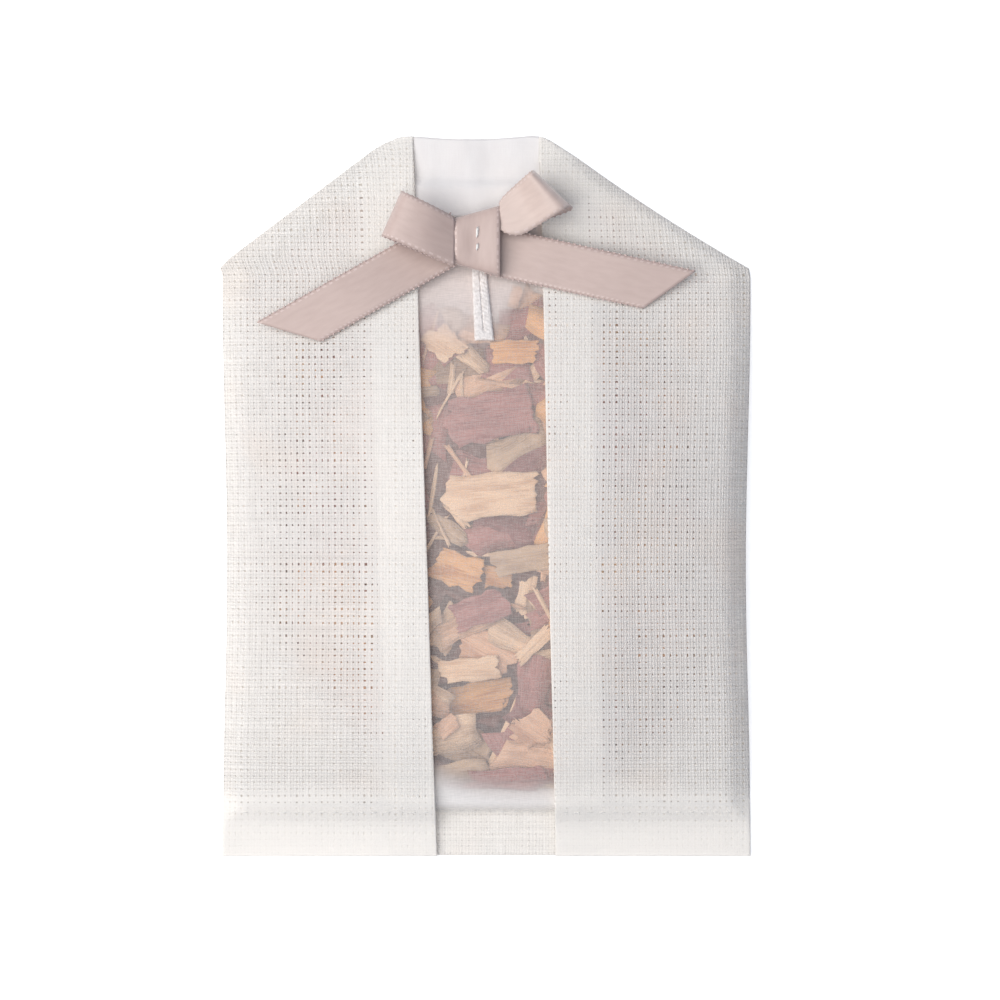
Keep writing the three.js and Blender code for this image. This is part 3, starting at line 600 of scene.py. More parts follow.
@dataclass(frozen=True)
class VoileFinish:
    """Sheer milky voile: fine threads with clear gaps between them, doubled above the fill."""

    name: str = "milky_voile"
    colour: Colour = (0.86, 0.77, 0.74, 1.0)
    pale: Colour = (0.87, 0.842, 0.818, 1.0)
    threads_per_mm: float = 3.2
    thread_length: float = 5.0
    weft_finer: float = 1.4
    warp_finer: float = 1.2
    weft_share: float = 0.6
    mesh_share: float = 0.8
    cloud_scale: float = 90.0
    dense_range: Pair = (0.3, 0.7)
    veil: Pair = (0.22, 0.35)
    doubled_range: Pair = (0.033, 0.042)
    doubled_veil: float = 0.33
    slant_range: Pair = (0.001, 0.008)
    slant_rise: float = 0.01
    ragged: float = 0.008
    ragged_stretch: Triple = (160.0, 60.0, 60.0)
    low_range: Pair = (-0.0578, -0.0656)
    low_veil: float = 0.56
    low_middle: float = 0.007
    low_arc: float = 13.0
    fade_range: Pair = (-0.0664, -0.0636)

    def material(self) -> Material:
        """Build the material on object coordinates, with its gaps as transparency."""
        sketch = NodeSketch(self.name)
        place = sketch.place()
        threads = self.threads_per_mm / MM
        long = threads / self.thread_length
        across = sketch.noise(place, (long, threads * self.weft_finer, long), detail=0.0)
        along = sketch.noise(place, (threads * self.warp_finer, long, long), detail=0.0)
        cloudy = sketch.noise(place, (self.cloud_scale,) * 3, detail=2.0)
        mesh = sketch.plus(sketch.times(across, self.weft_share), sketch.times(along, 1 - self.weft_share))
        dense = sketch.plus(sketch.times(mesh, self.mesh_share), sketch.times(cloudy, 1 - self.mesh_share))
        spread = sketch.span(dense, self.dense_range, self.veil)
        parts = sketch.add("ShaderNodeSeparateXYZ", {0: place})
        x, y = parts.outputs["X"], parts.outputs["Y"]
        aside = sketch.span(x, self.slant_range, (0.0, self.slant_rise), soft=True)
        ragged = sketch.times(sketch.noise(place, self.ragged_stretch, detail=2.0), self.ragged)
        up = sketch.plus(sketch.minus(y, aside), ragged)
        turned_in = sketch.span(up, self.doubled_range, (0.0, self.doubled_veil), soft=True)
        from_middle = sketch.minus(x, self.low_middle)
        arc = sketch.times(sketch.times(from_middle, from_middle), self.low_arc)
        low = sketch.span(sketch.minus(y, arc), self.low_range, soft=True)
        veil = sketch.plus(sketch.plus(spread, turned_in), sketch.times(low, self.low_veil))
        fade = sketch.span(y, self.fade_range, soft=True)
        colour = sketch.blend(low, self.colour, self.pale)
        veil = sketch.times(veil, fade)
        cloth = sketch.surface(colour, roughness=0.7, specular=0.2, Sheen_Weight=0.25, Alpha=veil)
        return sketch.close(cloth)


@dataclass(frozen=True)
class SatinFinish:
    """Dusty pink satin: fine slanted twill, soft gloss across the ribbon."""

    name: str = "dusty_pink_satin"
    light: Colour = (0.525, 0.41, 0.375, 1.0)
    deep: Colour = (0.488, 0.376, 0.342, 1.0)
    stitch: Colour = (0.68, 0.56, 0.53, 1.0)
    slub_stretch: Triple = (0.3, 1.1, 1.0)
    deep_at: float = 0.3
    light_at: float = 0.66
    width: float = 10.0
    stitch_inset: float = 0.5
    stitch_half: float = 0.2
    stitch_pitch: float = 1.2
    stitch_share: float = 0.6
    twill_pitch: float = 0.28
    twill_turn: float = 38.0
    bump_share: float = 0.12
    bump_height: float = 0.00008

    def material(self) -> Material:
        """Build the material on the ribbon's own coordinates, in millimetres."""
        sketch = NodeSketch(self.name)
        run = sketch.laid("run")
        slub = sketch.noise(run, self.slub_stretch)
        colour = sketch.ramp(slub, (self.deep_at, self.deep), (self.light_at, self.light))
        parts = sketch.add("ShaderNodeSeparateXYZ", {0: run})
        x, y = parts.outputs["X"], parts.outputs["Y"]
        from_edge = sketch.math("MINIMUM", y, sketch.minus(self.width, y))
        edge_band = {0: from_edge, 1: self.stitch_inset, 2: self.stitch_half}
        band = sketch.add("ShaderNodeMath", edge_band, operation="COMPARE").outputs[0]
        turns = sketch.math("SINE", sketch.times(x, 2 * math.pi / self.stitch_pitch))
        stitched = sketch.times(band, sketch.math("GREATER_THAN", turns, 0.0))
        colour = sketch.blend(sketch.times(stitched, self.stitch_share), colour, self.stitch)
        slanted = (0.0, 0.0, math.radians(self.twill_turn))
        turned = sketch.add("ShaderNodeMapping", {"Vector": run, "Rotation": slanted})
        twill = sketch.add("ShaderNodeTexWave", {
            "Vector": turned.outputs[0], "Scale": 0.5 / self.twill_pitch, "Distortion": 1.5, "Detail": 2.0,
        })
        normal = sketch.bump(twill.outputs["Fac"], self.bump_share, self.bump_height)
        return sketch.close(sketch.surface(
            colour, roughness=0.42, specular=0.45, Anisotropic=0.5, Sheen_Weight=0.3,
            Sheen_Roughness=0.4, Normal=normal,
        ))


@dataclass(frozen=True)
class YarnFinish:
    """Plain spun yarn, for picots, stitches and tape."""

    name: str
    light: Colour
    deep: Colour
    fibre: float = 2600.0
    twist: float = 0.7
    deep_at: float = 0.3
    light_at: float = 0.6
    bump_share: float = 0.6
    bump_height: float = 0.0002

    def material(self) -> Material:
        """Build the material on object coordinates."""
        sketch = NodeSketch(self.name)
        spun = sketch.noise(sketch.place(), (self.fibre, self.fibre * self.twist, self.fibre), detail=4.0)
        colour = sketch.ramp(spun, (self.deep_at, self.deep), (self.light_at, self.light))
        normal = sketch.bump(spun, self.bump_share, self.bump_height)
        yarn = sketch.surface(colour, roughness=0.85, specular=0.2, Sheen_Weight=0.3, Normal=normal)
        return sketch.close(yarn)


@dataclass(frozen=True)
class WoodFinish:
    """Thin wood shaving with fibres along its grain."""

    name: str
    light: Colour
    deep: Colour
    attribute: str = ""
    band_stretch: Triple = (0.09, 0.34, 1.0)
    fibre_stretch: Triple = (0.16, 3.2, 1.0)
    band_share: float = 0.55
    deep_at: float = 0.39
    light_at: float = 0.54
    bump_share: float = 0.8
    bump_height: float = 0.0003

    def material(self) -> Material:
        """Build the material on the flake's own grain coordinates, in millimetres."""
        sketch = NodeSketch(self.name)
        grain = sketch.laid("grain")
        bands = sketch.noise(grain, self.band_stretch)
        fibres = sketch.noise(grain, self.fibre_stretch, detail=5.0)
        mixed = sketch.plus(sketch.times(bands, self.band_share), sketch.times(fibres, 1 - self.band_share))
        colour = sketch.ramp(mixed, (self.deep_at, self.deep), (self.light_at, self.light))
        if self.attribute:
            tone = sketch.add("ShaderNodeAttribute", attribute_name=self.attribute).outputs["Color"]
            colour = sketch.blend(1.0, colour, tone, "MULTIPLY")
        normal = sketch.bump(fibres, self.bump_share, self.bump_height)
        return sketch.close(sketch.surface(colour, roughness=0.72, specular=0.3, Normal=normal))


WOOD_TONES: dict[str, tuple[Colour, Colour]] = {
    "wood_cream": ((0.83, 0.59, 0.39, 1.0), (0.6, 0.37, 0.22, 1.0)),
    "wood_peach": ((0.77, 0.48, 0.31, 1.0), (0.52, 0.28, 0.17, 1.0)),
    "wood_orange": ((0.79, 0.43, 0.19, 1.0), (0.5, 0.22, 0.085, 1.0)),
    "wood_mauve": ((0.43, 0.19, 0.165, 1.0), (0.25, 0.095, 0.088, 1.0)),
    "wood_olive": ((0.58, 0.41, 0.27, 1.0), (0.39, 0.26, 0.17, 1.0)),
}


# Lighter copy of the satin: painted sheen for the right loop, which catches more light.
PAINTED_SHEEN_SATIN = SatinFinish("dusty_pink_satin_painted_sheen", (0.605, 0.485, 0.436, 1.0), (0.56, 0.444, 0.398, 1.0))
SELVEDGE = YarnFinish("ribbon_selvedge", (0.66, 0.53, 0.5, 1.0), (0.5, 0.38, 0.36, 1.0))
THREAD = YarnFinish("white_sewing_thread", (0.92, 0.9, 0.87, 1.0), (0.74, 0.72, 0.69, 1.0))
TAPE = YarnFinish("fuzzy_cotton_tape", (0.82, 0.78, 0.76, 1.0), (0.66, 0.62, 0.6, 1.0), 1700.0)
SHAVINGS = WoodFinish("mixed_shavings", (1.0, 1.0, 1.0, 1.0), (0.6, 0.56, 0.54, 1.0), "tone")


@dataclass
class Wardrobe:
    """Materials of the whole sachet, each made once."""

    linen: Material = field(default_factory=LinenFinish().material)
    cotton: Material = field(default_factory=CottonFinish().material)
    voile: Material = field(default_factory=VoileFinish().material)
    satin: Material = field(default_factory=SatinFinish().material)
    sheen_painted_satin: Material = field(default_factory=PAINTED_SHEEN_SATIN.material)
    picot: Material = field(default_factory=SELVEDGE.material)
    thread: Material = field(default_factory=THREAD.material)
    tape: Material = field(default_factory=TAPE.material)
    heap: Material = field(default_factory=SHAVINGS.material)
    woods: dict[str, Material] = field(default_factory=dict)

    def wood(self, slot: str) -> Material:
        """Material of one tone of shavings, by the record's slot."""
        if slot not in self.woods:
            light, deep = WOOD_TONES[slot]
            self.woods[slot] = WoodFinish(f"grained_{slot}", light, deep).material()
        return self.woods[slot]


def shaped_grid(
    bm: Mesh, columns: int, rows: int, place: Place, size: Pair, layer: str = "run"
) -> list[bmesh.types.BMVert]:
    """Add a grid and put each of its points in place.

    Args:
        bm: mesh to add to.
        columns: cells along the first direction.
        rows: cells along the second direction.
        place: point for each pair of shares along the two directions.
        size: real length of the two directions, for the coordinates of the finish.
        layer: name of those coordinates.

    Returns:
        The new points.
    """
    uv = bm.loops.layers.uv.get(layer) or bm.loops.layers.uv.new(layer)
    made = bmesh.ops.create_grid(bm, x_segments=columns, y_segments=rows, size=0.5)["verts"]
    for vert in made:
        u, v = vert.co.x + 0.5, vert.co.y + 0.5
        for loop in vert.link_loops:
            loop[uv].uv = (u * size[0], v * size[1])
        vert.co = place(u, v)
    return made


def add_bead(bm: Mesh, at: Vector, run: Vector, length: float, radius: float, material: int = 0) -> None:
    """Add a small long bead of thread.

    Args:
        bm: mesh to add to.
        at: middle of the bead.
        run: direction of its length.
        length: half its length.
        radius: half its thickness.
        material: slot of its finish.
    """
    turn = run.to_track_quat("X", "Z").to_matrix().to_4x4()
    matrix = Matrix.Translation(at) @ turn @ Matrix.Diagonal((length, radius, radius, 1.0))
    made = bmesh.ops.create_icosphere(bm, subdivisions=1, radius=1.0, matrix=matrix)["verts"]
    for face in {face for vert in made for face in vert.link_faces}:
        face.material_index = material


def finish_piece(
    name: str,
    bm: Mesh,
    materials: Sequence[Material],
    replaced: Sequence[str] = (),
    body: Optional[Body] = Body.SACHET,
) -> bpy.types.Object:
    """Turn a mesh in millimetres into a finished piece.

    Args:
        name: name of the piece.
        bm: its mesh, which is used up.
        materials: its finishes.
        replaced: nodes that it stands for.
        body: body that it rides on, or none where it bends between two.

    Returns:
        The new object.
    """
    bmesh.ops.scale(bm, vec=(MM, MM, MM), verts=bm.verts[:])
    mesh = bpy.data.meshes.new(name)
    bm.to_mesh(mesh)
    bm.free()
    mesh.shade_smooth()
    for material in materials:
        mesh.materials.append(material)
    piece = bpy.data.objects.new(name, mesh)
    bpy.context.scene.collection.objects.link(piece)
    if replaced:
        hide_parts(*replaced)
    if body is not None:
        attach(piece, body.value)
    LOG.info("%s: %d faces", name, len(mesh.polygons))
    return piece


@dataclass(frozen=True)
class Cut:
    """Flat box of cloth before it is folded."""

    left: float
    right: float
    low: float
    high: float

    @property
    def width(self) -> float:
        """Size across."""
        return self.right - self.left

    @property
    def length(self) -> float:
        """Size along."""
        return self.high - self.low


@dataclass(frozen=True)
class OpenWeave:
    """Open plain weave of slubby yarn, as a net with a hole in each cell that its yarns leave open."""

    across: float = 1.27
    along: float = 1.34
    hole: float = 0.19
    most_hole: float = 0.3
    slub: float = 0.5
    streaky: float = 0.6
    patchy: float = 0.35
    openness: float = 1.2
    least_hole: float = 0.13
    rise: float = 0.03
    wander: float = 0.22
    jitter: float = 0.14
    uneven: float = 0.35
    streak_scale: Pair = (0.11, 0.02)
    patch_scale: Pair = (0.035, 0.03)
    least_open: float = 0.15
    yarn_apart: float = 3.7
    yarn_bend: float = 0.05
    patch_apart: float = 5.0
    weft_apart: float = 9.0

    def opening(self, place: Vector, seed: int) -> float:
        """How open the weave is at a place: upright streaks over broad patches."""
        streak = noise.noise((place.x * self.streak_scale[0], place.y * self.streak_scale[1], seed))
        apart = seed + self.patch_apart
        patch = noise.noise((place.x * self.patch_scale[0], place.y * self.patch_scale[1], apart))
        return max(self.least_open, self.openness + self.streaky * streak + self.patchy * patch)

    def vary(self, draw: random.Random) -> float:
        """Random share by which a hole is larger or smaller."""
        return 1 + self.uneven * draw.uniform(-1, 1)

    def cloth(self, cut: Cut, seed: int, shown: Callable[[Vector], float]) -> Mesh:
        """Weave a flat piece of cloth.

        Args:
            cut: its flat box.
            seed: start of its random yarns.
            shown: share of its full size that a hole has at a place. Turned cloth and folds have none.

        Returns:
            The net, with its weave coordinates, the rise of each point and a depth of 0.
        """
        draw = random.Random(seed)
        columns, rows = round(cut.width / self.across), round(cut.length / self.along)
        bm = bmesh.new()
        rise = bm.verts.layers.float.new("rise")
        bm.verts.layers.float.new("depth")
        bm.verts.layers.float.new("doubled")
        uv = bm.loops.layers.uv.new("weave")
        bmesh.ops.create_grid(bm, x_segments=columns, y_segments=rows, size=0.5)
        warp = [1 + self.slub * draw.uniform(-1, 1) for _ in range(columns)]
        weft = [1 + self.slub * draw.uniform(-1, 1) for _ in range(rows)]
        aside = [self.jitter * self.across * draw.uniform(-1, 1) for _ in range(columns + 1)]
        ahead = [self.jitter * self.along * draw.uniform(-1, 1) for _ in range(rows + 1)]
        for vert in bm.verts:
            column = round((vert.co.x + 0.5) * columns)
            row = round((vert.co.y + 0.5) * rows)
            vert[rise] = self.rise if (column + row) % 2 else 0.0
            x = lerp(cut.left, cut.right, vert.co.x + 0.5)
            y = lerp(cut.low, cut.high, vert.co.y + 0.5)
            for loop in vert.link_loops:
                loop[uv].uv = (column, row)
            sway = self.wander * noise.noise((column * self.yarn_apart, y * self.yarn_bend, seed))
            below = seed + self.weft_apart
            bow = self.wander * noise.noise((x * self.yarn_bend, row * self.yarn_apart, below))
            vert.co = Vector((x + aside[column] + sway, y + ahead[row] + bow, 0.0))
        cells = bm.faces[:]
        inset = self.across / 4
        bmesh.ops.inset_individual(bm, faces=cells, thickness=inset, use_even_offset=True)
        inner_width, inner_length = self.across - 2 * inset, self.along - 2 * inset
        opened = []
        for index, cell in enumerate(cells):
            row, column = divmod(index, columns)
            middle = cell.calc_center_median()
            size = self.hole * self.opening(middle, seed) * shown(middle)
            wide = min(self.most_hole, size * warp[column] * self.vary(draw)) * self.across
            tall = min(self.most_hole, size * weft[row] * self.vary(draw)) * self.along
            for vert in cell.verts:
                vert[rise] = 0.0
                offset = vert.co - middle
                side = Vector((offset.x * wide / inner_width, offset.y * tall / inner_length, 0.0))
                vert.co = middle + side
                for loop in vert.link_loops:
                    loop[uv].uv = (column + 0.5 + side.x / self.across, row + 0.5 + side.y / self.along)
            if min(wide, tall) > self.least_hole:
                opened.append(cell)
        bmesh.ops.delete(bm, geom=opened, context="FACES_ONLY")
        return bm


def turn_under(
    bm: Mesh, fold: Fold, allowance: float, depth: float, rounding: float = 0.3, nearness: float = 1e-3
) -> None:
    """Fold the cloth past a line back under itself and trim it to an allowance.

    Args:
        bm: flat cloth with a depth on each point.
        fold: point on the fold and the direction across it, away from the cloth.
        allowance: width of cloth that is kept past the fold.
        depth: how far under the cloth the folded part lies.
        rounding: how far inside the fold the cloth starts to bend.
        nearness: distance from the fold that counts as on it.
    """
    at, outward = fold
    layer = bm.verts.layers.float["depth"]
    cuts = [allowance] + [rounding * step for step in (1.0, 0.4, 0.0, -0.4, -1.0)]
    for ahead in cuts:
        geom = bm.verts[:] + bm.edges[:] + bm.faces[:]
        place = at + outward * ahead
        trims = ahead == allowance
        bmesh.ops.bisect_plane(
            bm, geom=geom, dist=CLOSE, plane_co=place, plane_no=outward, clear_outer=trims
        )
    for vert in bm.verts:
        past = (vert.co - at).dot(outward)
        bent = share(1 - abs(past) / rounding)
        rounded = depth / 2 * (1 - math.sqrt(1 - bent * bent))
        if past > nearness:
            vert.co -= outward * (2 * past)
            vert[layer] += depth - rounded
        else:
            vert[layer] += rounded


@dataclass
class LinenCover:
    """Linen coat: a back and two front panels with turned hems, facings, sides and shoulders."""

    wardrobe: Wardrobe
    form: SachetForm = FORM
    weave: OpenWeave = OpenWeave()
    edge_turn: float = 3.0
    shoulder_turn: float = 6.0
    hem_under: float = 0.25
    facing_under: float = 0.45
    edge_under: float = 0.35
    seam_under: float = 0.7
    skin: float = 0.2
    slack: float = 0.75
    dense_edge: float = 1.4
    bow_start: float = 2.0
    left_bow: float = 1.5
    right_bow: float = 1.3
    back_doubled: float = 0.4
    facing_doubled: float = 0.55
    near_facing: float = 0.9
    facing_reach: float = 9.0
    left_bow_start: float = 6.0
    right_bow_end: float = 1.1
    ripple_scale: Pair = (0.055, 0.04)
    front_seed: int = 11
    back_seed: int = 23

    @property
    def hem(self) -> Fold:
        """Fold of the hem."""
        return Vector((0, self.form.hem_y, 0)), Vector((0, -1, 0))

    @property
    def neck(self) -> Fold:
        """Fold of the neck."""
        return Vector((0, self.form.top_y, 0)), Vector((0, 1, 0))

    def side_seam(self, side: Side) -> Fold:
        """Fold of a side."""
        return Vector((side.value * self.form.cover_width / 2, 0, 0)), Vector((side.value, 0, 0))

    def shoulder(self, side: Side) -> Fold:
        """Point on a shoulder's fold and the direction away from the cloth."""
        form = self.form
        low = Vector((side.value * form.cover_width / 2, form.shoulder_y, 0.0))
        high = Vector((form.neck_shift + side.value * form.neck_width / 2, form.top_y, 0.0))
        along = (high - low).normalized()
        return low, Vector((along.y, -along.x, 0.0)) * side.value

    def front_edge(self, side: Side) -> Fold:
        """Point on a front edge's fold and the direction into the opening."""
        form = self.form
        index = side is Side.RIGHT
        low = Vector((form.opening_edges(form.hem_y)[index], form.hem_y, 0.0))
        high = Vector((form.opening_edges(form.top_y)[index], form.top_y, 0.0))
        along = (high - low).normalized()
        return low, Vector((along.y, -along.x, 0.0)) * -side.value

    def outside(self, place: Vector, side: Optional[Side] = None) -> float:
        """How open flat cloth may be at a place: closed at every fold, and fully open away from a facing.

        Args:
            place: place on the flat cloth.
            side: front panel that it is on, or none for the back.

        Returns:
            Share of the full size of a hole there.
        """
        form = self.form
        folds = [fold(each) for fold in (self.shoulder, self.side_seam) for each in Side]
        folds += [self.hem, self.neck]
        inside = min(-(place - at).dot(outward) for at, outward in folds)
        if inside < self.dense_edge:
            return 0.0
        if side is None:
            return 1.0
        at, outward = self.front_edge(side)
        past_facing = -(place - at).dot(outward) - form.facing_width
        return lerp(self.near_facing, 1.0, ease(past_facing / self.facing_reach))

    def laid(self, place: Vector) -> Pair:
        """Place of flat cloth as it lies: sides drawn in, shoulders bowed and neck corners rounded."""
        form = self.form
        y = max(place.y, form.hem_y)
        x = place.x * form.half_width(y) / (form.cover_width / 2)
        slope = share((y - form.shoulder_y + self.bow_start) / form.shoulder_drop)
        left, right = form.cover_sides(y)
        inner = form.opening_edges(y)
        toward_left = share((inner[0] - x) / (inner[0] - left + form.gap))
        toward_right = share((x - inner[1]) / (right - inner[1] + form.gap))
        x -= self.left_bow * toward_left * ease(slope * self.left_bow_start)
        x -= self.right_bow * toward_right * math.sin(math.pi * share(slope * self.right_bow_end))
        return x, y - form.corner_fall(x, y)

    def neck_drop(self, x: float, y: float) -> float:
        """How far the cloth at a place comes down with the dip of the neck."""
        form = self.form
        return (form.top_y - form.neck_edge(x)) * ease((y - form.top_y + form.hem_depth) / form.hem_depth)

    def ripple(self, x: float, y: float) -> float:
        """Soft slack of the cloth, which only lifts it."""
        inner = self.form.crown(x, y, self.form.cover_sides(y)) / self.form.fill_height
        across, along = self.ripple_scale
        return self.slack * inner * (1 + noise.noise((x * across, y * along, 3.0)))

    def cut(self, left: float, right: float) -> Cut:
        """Flat cloth between two sides, with its turnings at hem and shoulder."""
        form = self.form
        return Cut(left, right, form.hem_y - form.hem_depth, form.top_y + self.shoulder_turn)

    def front(self, side: Side) -> bpy.types.Object:
        """Build one front panel."""
        form = self.form
        sign = side.value
        edges = [form.opening_edges(y)[side is Side.RIGHT] for y in (form.hem_y, form.top_y)]
        outer = sign * (form.cover_width / 2 + self.edge_turn)
        inner = (max if side is Side.LEFT else min)(edges) - sign * (form.facing_width + self.weave.across)
        cut = self.cut(min(outer, inner), max(outer, inner))
        bm = self.weave.cloth(cut, self.front_seed + sign, lambda place: self.outside(place, side))
        turn_under(bm, self.hem, form.hem_depth, self.hem_under)
        turn_under(bm, self.front_edge(side), form.facing_width, self.facing_under)
        turn_under(bm, self.neck, self.shoulder_turn, self.edge_under)
        turn_under(bm, self.shoulder(side), self.shoulder_turn, self.seam_under)
        turn_under(bm, self.side_seam(side), self.edge_turn, self.seam_under)
        depth, rise, doubled = (bm.verts.layers.float[name] for name in ("depth", "rise", "doubled"))
        for vert in bm.verts:
            x, y = self.laid(vert.co)
            vert[doubled] = max(form.hem_share(y), self.facing_doubled * form.facing_share(x, y, side))
            top = form.front_top(x, y, side) - self.skin + self.ripple(x, y)
            under = min(vert[depth], self.seam_under + self.hem_under)
            vert.co = Vector((x, y - self.neck_drop(x, y), top - under + vert[rise]))
        name = f"{side.name.lower()}_front"
        piece = finish_piece(f"{name}_linen", bm, [self.wardrobe.linen], [f"{name}_panel"])
        return piece

    def back(self) -> bpy.types.Object:
        """Build the back, whose hem is turned up on the inside."""
        form = self.form
        outer = form.cover_width / 2 + self.edge_turn
        cut = self.cut(-outer, outer)
        bm = self.weave.cloth(cut, self.back_seed, self.outside)
        turn_under(bm, self.hem, form.hem_depth, self.hem_under)
        turn_under(bm, self.neck, self.shoulder_turn, self.edge_under)
        for side in Side:
            turn_under(bm, self.shoulder(side), self.shoulder_turn, self.edge_under)
            turn_under(bm, self.side_seam(side), self.edge_turn, self.edge_under)
        depth, rise, doubled = (bm.verts.layers.float[name] for name in ("depth", "rise", "doubled"))
        for vert in bm.verts:
            x, y = self.laid(vert.co)
            vert[doubled] = self.back_doubled * form.hem_share(y)
            low = form.back_low(x, y) + self.skin
            vert.co = Vector((x, y - self.neck_drop(x, y), low + vert[depth] + vert[rise]))
        piece = finish_piece("back_linen", bm, [self.wardrobe.linen], ["back_panel"])
        return piece

    def build(self) -> None:
        """Build the three panels."""
        self.back()
        for side in Side:
            self.front(side)


@dataclass
class NeckFacing:
    """Smooth cotton inside the back neck, in soft upright folds."""

    wardrobe: Wardrobe
    form: SachetForm = FORM
    inset: float = 0.03
    fold_rise: float = 0.35
    folds: float = 2.6
    overlap: float = 6.0
    fold_lean: float = 1.4
    tuck: float = 0.15
    tuck_drop: float = 0.1
    tuck_round: int = 8
    step_down: float = 2.5
    cells: tuple[int, int] = (64, 26)

    def build(self) -> bpy.types.Object:
        """Build the facing."""
        form = self.form
        low = form.bag_high - self.overlap
        tall = form.top_y - self.inset - low

        def place(u: float, v: float) -> Vector:
            """Point of the facing at a share across and up."""
            left, right = form.opening_edges(lerp(low, form.top_y, v))
            x = lerp(left - self.tuck, right + self.tuck, u)
            y = lerp(low, form.neck_edge(x) - form.corner_fall(x, form.top_y) - self.inset, v)
            wave = 0.5 + 0.5 * math.sin(2 * math.pi * self.folds * u + self.fold_lean * v)
            over_bag = form.bag_front(x, y) - form.back_top(x, y) + form.voile
            on_bag = ease((form.bag_high + self.step_down - y) / self.step_down)
            ground = form.gap + (over_bag - form.gap) * on_bag
            tucked = self.tuck_drop * abs(2 * u - 1) ** self.tuck_round
            fold = self.fold_rise * wave * math.sin(math.pi * u) - tucked
            return Vector((x, y, form.back_top(x, y) + ground + fold))

        bm = bmesh.new()
        shaped_grid(bm, *self.cells, place, (form.opening_neck[0], tall))
        bmesh.ops.solidify(bm, geom=bm.faces[:], thickness=-form.cotton / 2)
        piece = finish_piece("neck_lawn", bm, [self.wardrobe.cotton], ["back_neck_facing"])
        return piece


@dataclass
class SheerBag:
    """Closed bag of voile, swelled a little by its fill."""

    wardrobe: Wardrobe
    form: SachetForm = FORM
    columns: int = 44
    rows: int = 54
    swell: float = 0.25
    frames: int = 20
    pressure: float = 4.0
    flat_layers: int = 3

    def sheet(self, bm: Mesh, height: Height) -> None:
        """Add the front or the back sheet."""
        form = self.form

        def place(u: float, v: float) -> Vector:
            """Point of the sheet, with closer columns toward the seams."""
            y = lerp(form.bag_low - form.bag_overhang, form.bag_high, v)
            left, right = form.bag_sides(y)
            x = lerp(left, right, (1 - math.cos(math.pi * u)) / 2)
            return Vector((x, y, height(x, y)))

        shaped_grid(bm, self.columns, self.rows, place, (form.cover_width, form.cover_length))

    def inflate(self, bag: bpy.types.Object, seam: Sequence[int]) -> None:
        """Swell the bag as cloth under a little pressure, held along its seam.

        Args:
            bag: the closed bag, in place.
            seam: points of the seam, which stay.
        """
        start = [vert.co.copy() for vert in bag.data.vertices]
        group = bag.vertex_groups.new(name="seam")
        group.add(list(seam), 1.0, "REPLACE")
        cloth = bag.modifiers.new("swell", "CLOTH")
        cloth.settings.use_pressure = True
        cloth.settings.uniform_pressure_force = self.pressure
        cloth.settings.effector_weights.gravity = 0.0
        cloth.settings.vertex_group_mass = group.name
        cloth.point_cache.frame_start = 1
        cloth.point_cache.frame_end = self.frames
        scene = bpy.context.scene
        for number in range(1, self.frames + 1):
            scene.frame_set(number)
        graph = bpy.context.evaluated_depsgraph_get()
        swelled = [vert.co.copy() for vert in bag.evaluated_get(graph).data.vertices]
        bag.modifiers.remove(cloth)
        scene.frame_set(1)
        cap = self.swell * MM
        flat = self.form.linen * self.flat_layers
        for vert, rest, moved in zip(bag.data.vertices, start, swelled):
            step = moved - rest
            step.z = max(0.0, step.z) if rest.z > flat * MM else 0.0
            vert.co = rest + (step if step.length < cap else step.normalized() * cap)

    def build(self) -> bpy.types.Object:
        """Build the bag, close its seam and swell it."""
        form = self.form
        bm = bmesh.new()
        self.sheet(bm, form.bag_front)
        self.sheet(bm, form.bag_back)
        rim = [edge for edge in bm.edges if edge.is_boundary]
        bm.verts.index_update()
        seam = {vert.index for edge in rim for vert in edge.verts}
        bmesh.ops.bridge_loops(bm, edges=rim)
        bmesh.ops.recalc_face_normals(bm, faces=bm.faces[:])
        piece = finish_piece(
            "sheer_bag", bm, [self.wardrobe.voile], ["bag_front_sheet", "bag_back_sheet"]
        )
        self.inflate(piece, sorted(seam))
        rounder = piece.modifiers.new("rounder", "SUBSURF")
        rounder.levels = rounder.render_levels = 1
        return piece


def packed_mesh(node: str) -> Mesh:
    """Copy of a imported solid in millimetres, with its points joined and without coordinates."""
    bm = bmesh.new()
    bm.from_mesh(frame["nodes"][node].data)
    bmesh.ops.remove_doubles(bm, verts=bm.verts[:], dist=JOINED)
    bmesh.ops.scale(bm, vec=(1 / MM, 1 / MM, 1 / MM), verts=bm.verts[:])
    for layer in list(bm.loops.layers.uv.values()):
        bm.loops.layers.uv.remove(layer)
    return bm


@dataclass(frozen=True)
class FlakeKind:
    """Kind of small flakes: how many, whether in the opening, and between which lengths and widths."""

    count: int
    shown: bool
    lengths: Pair
    widths: Pair


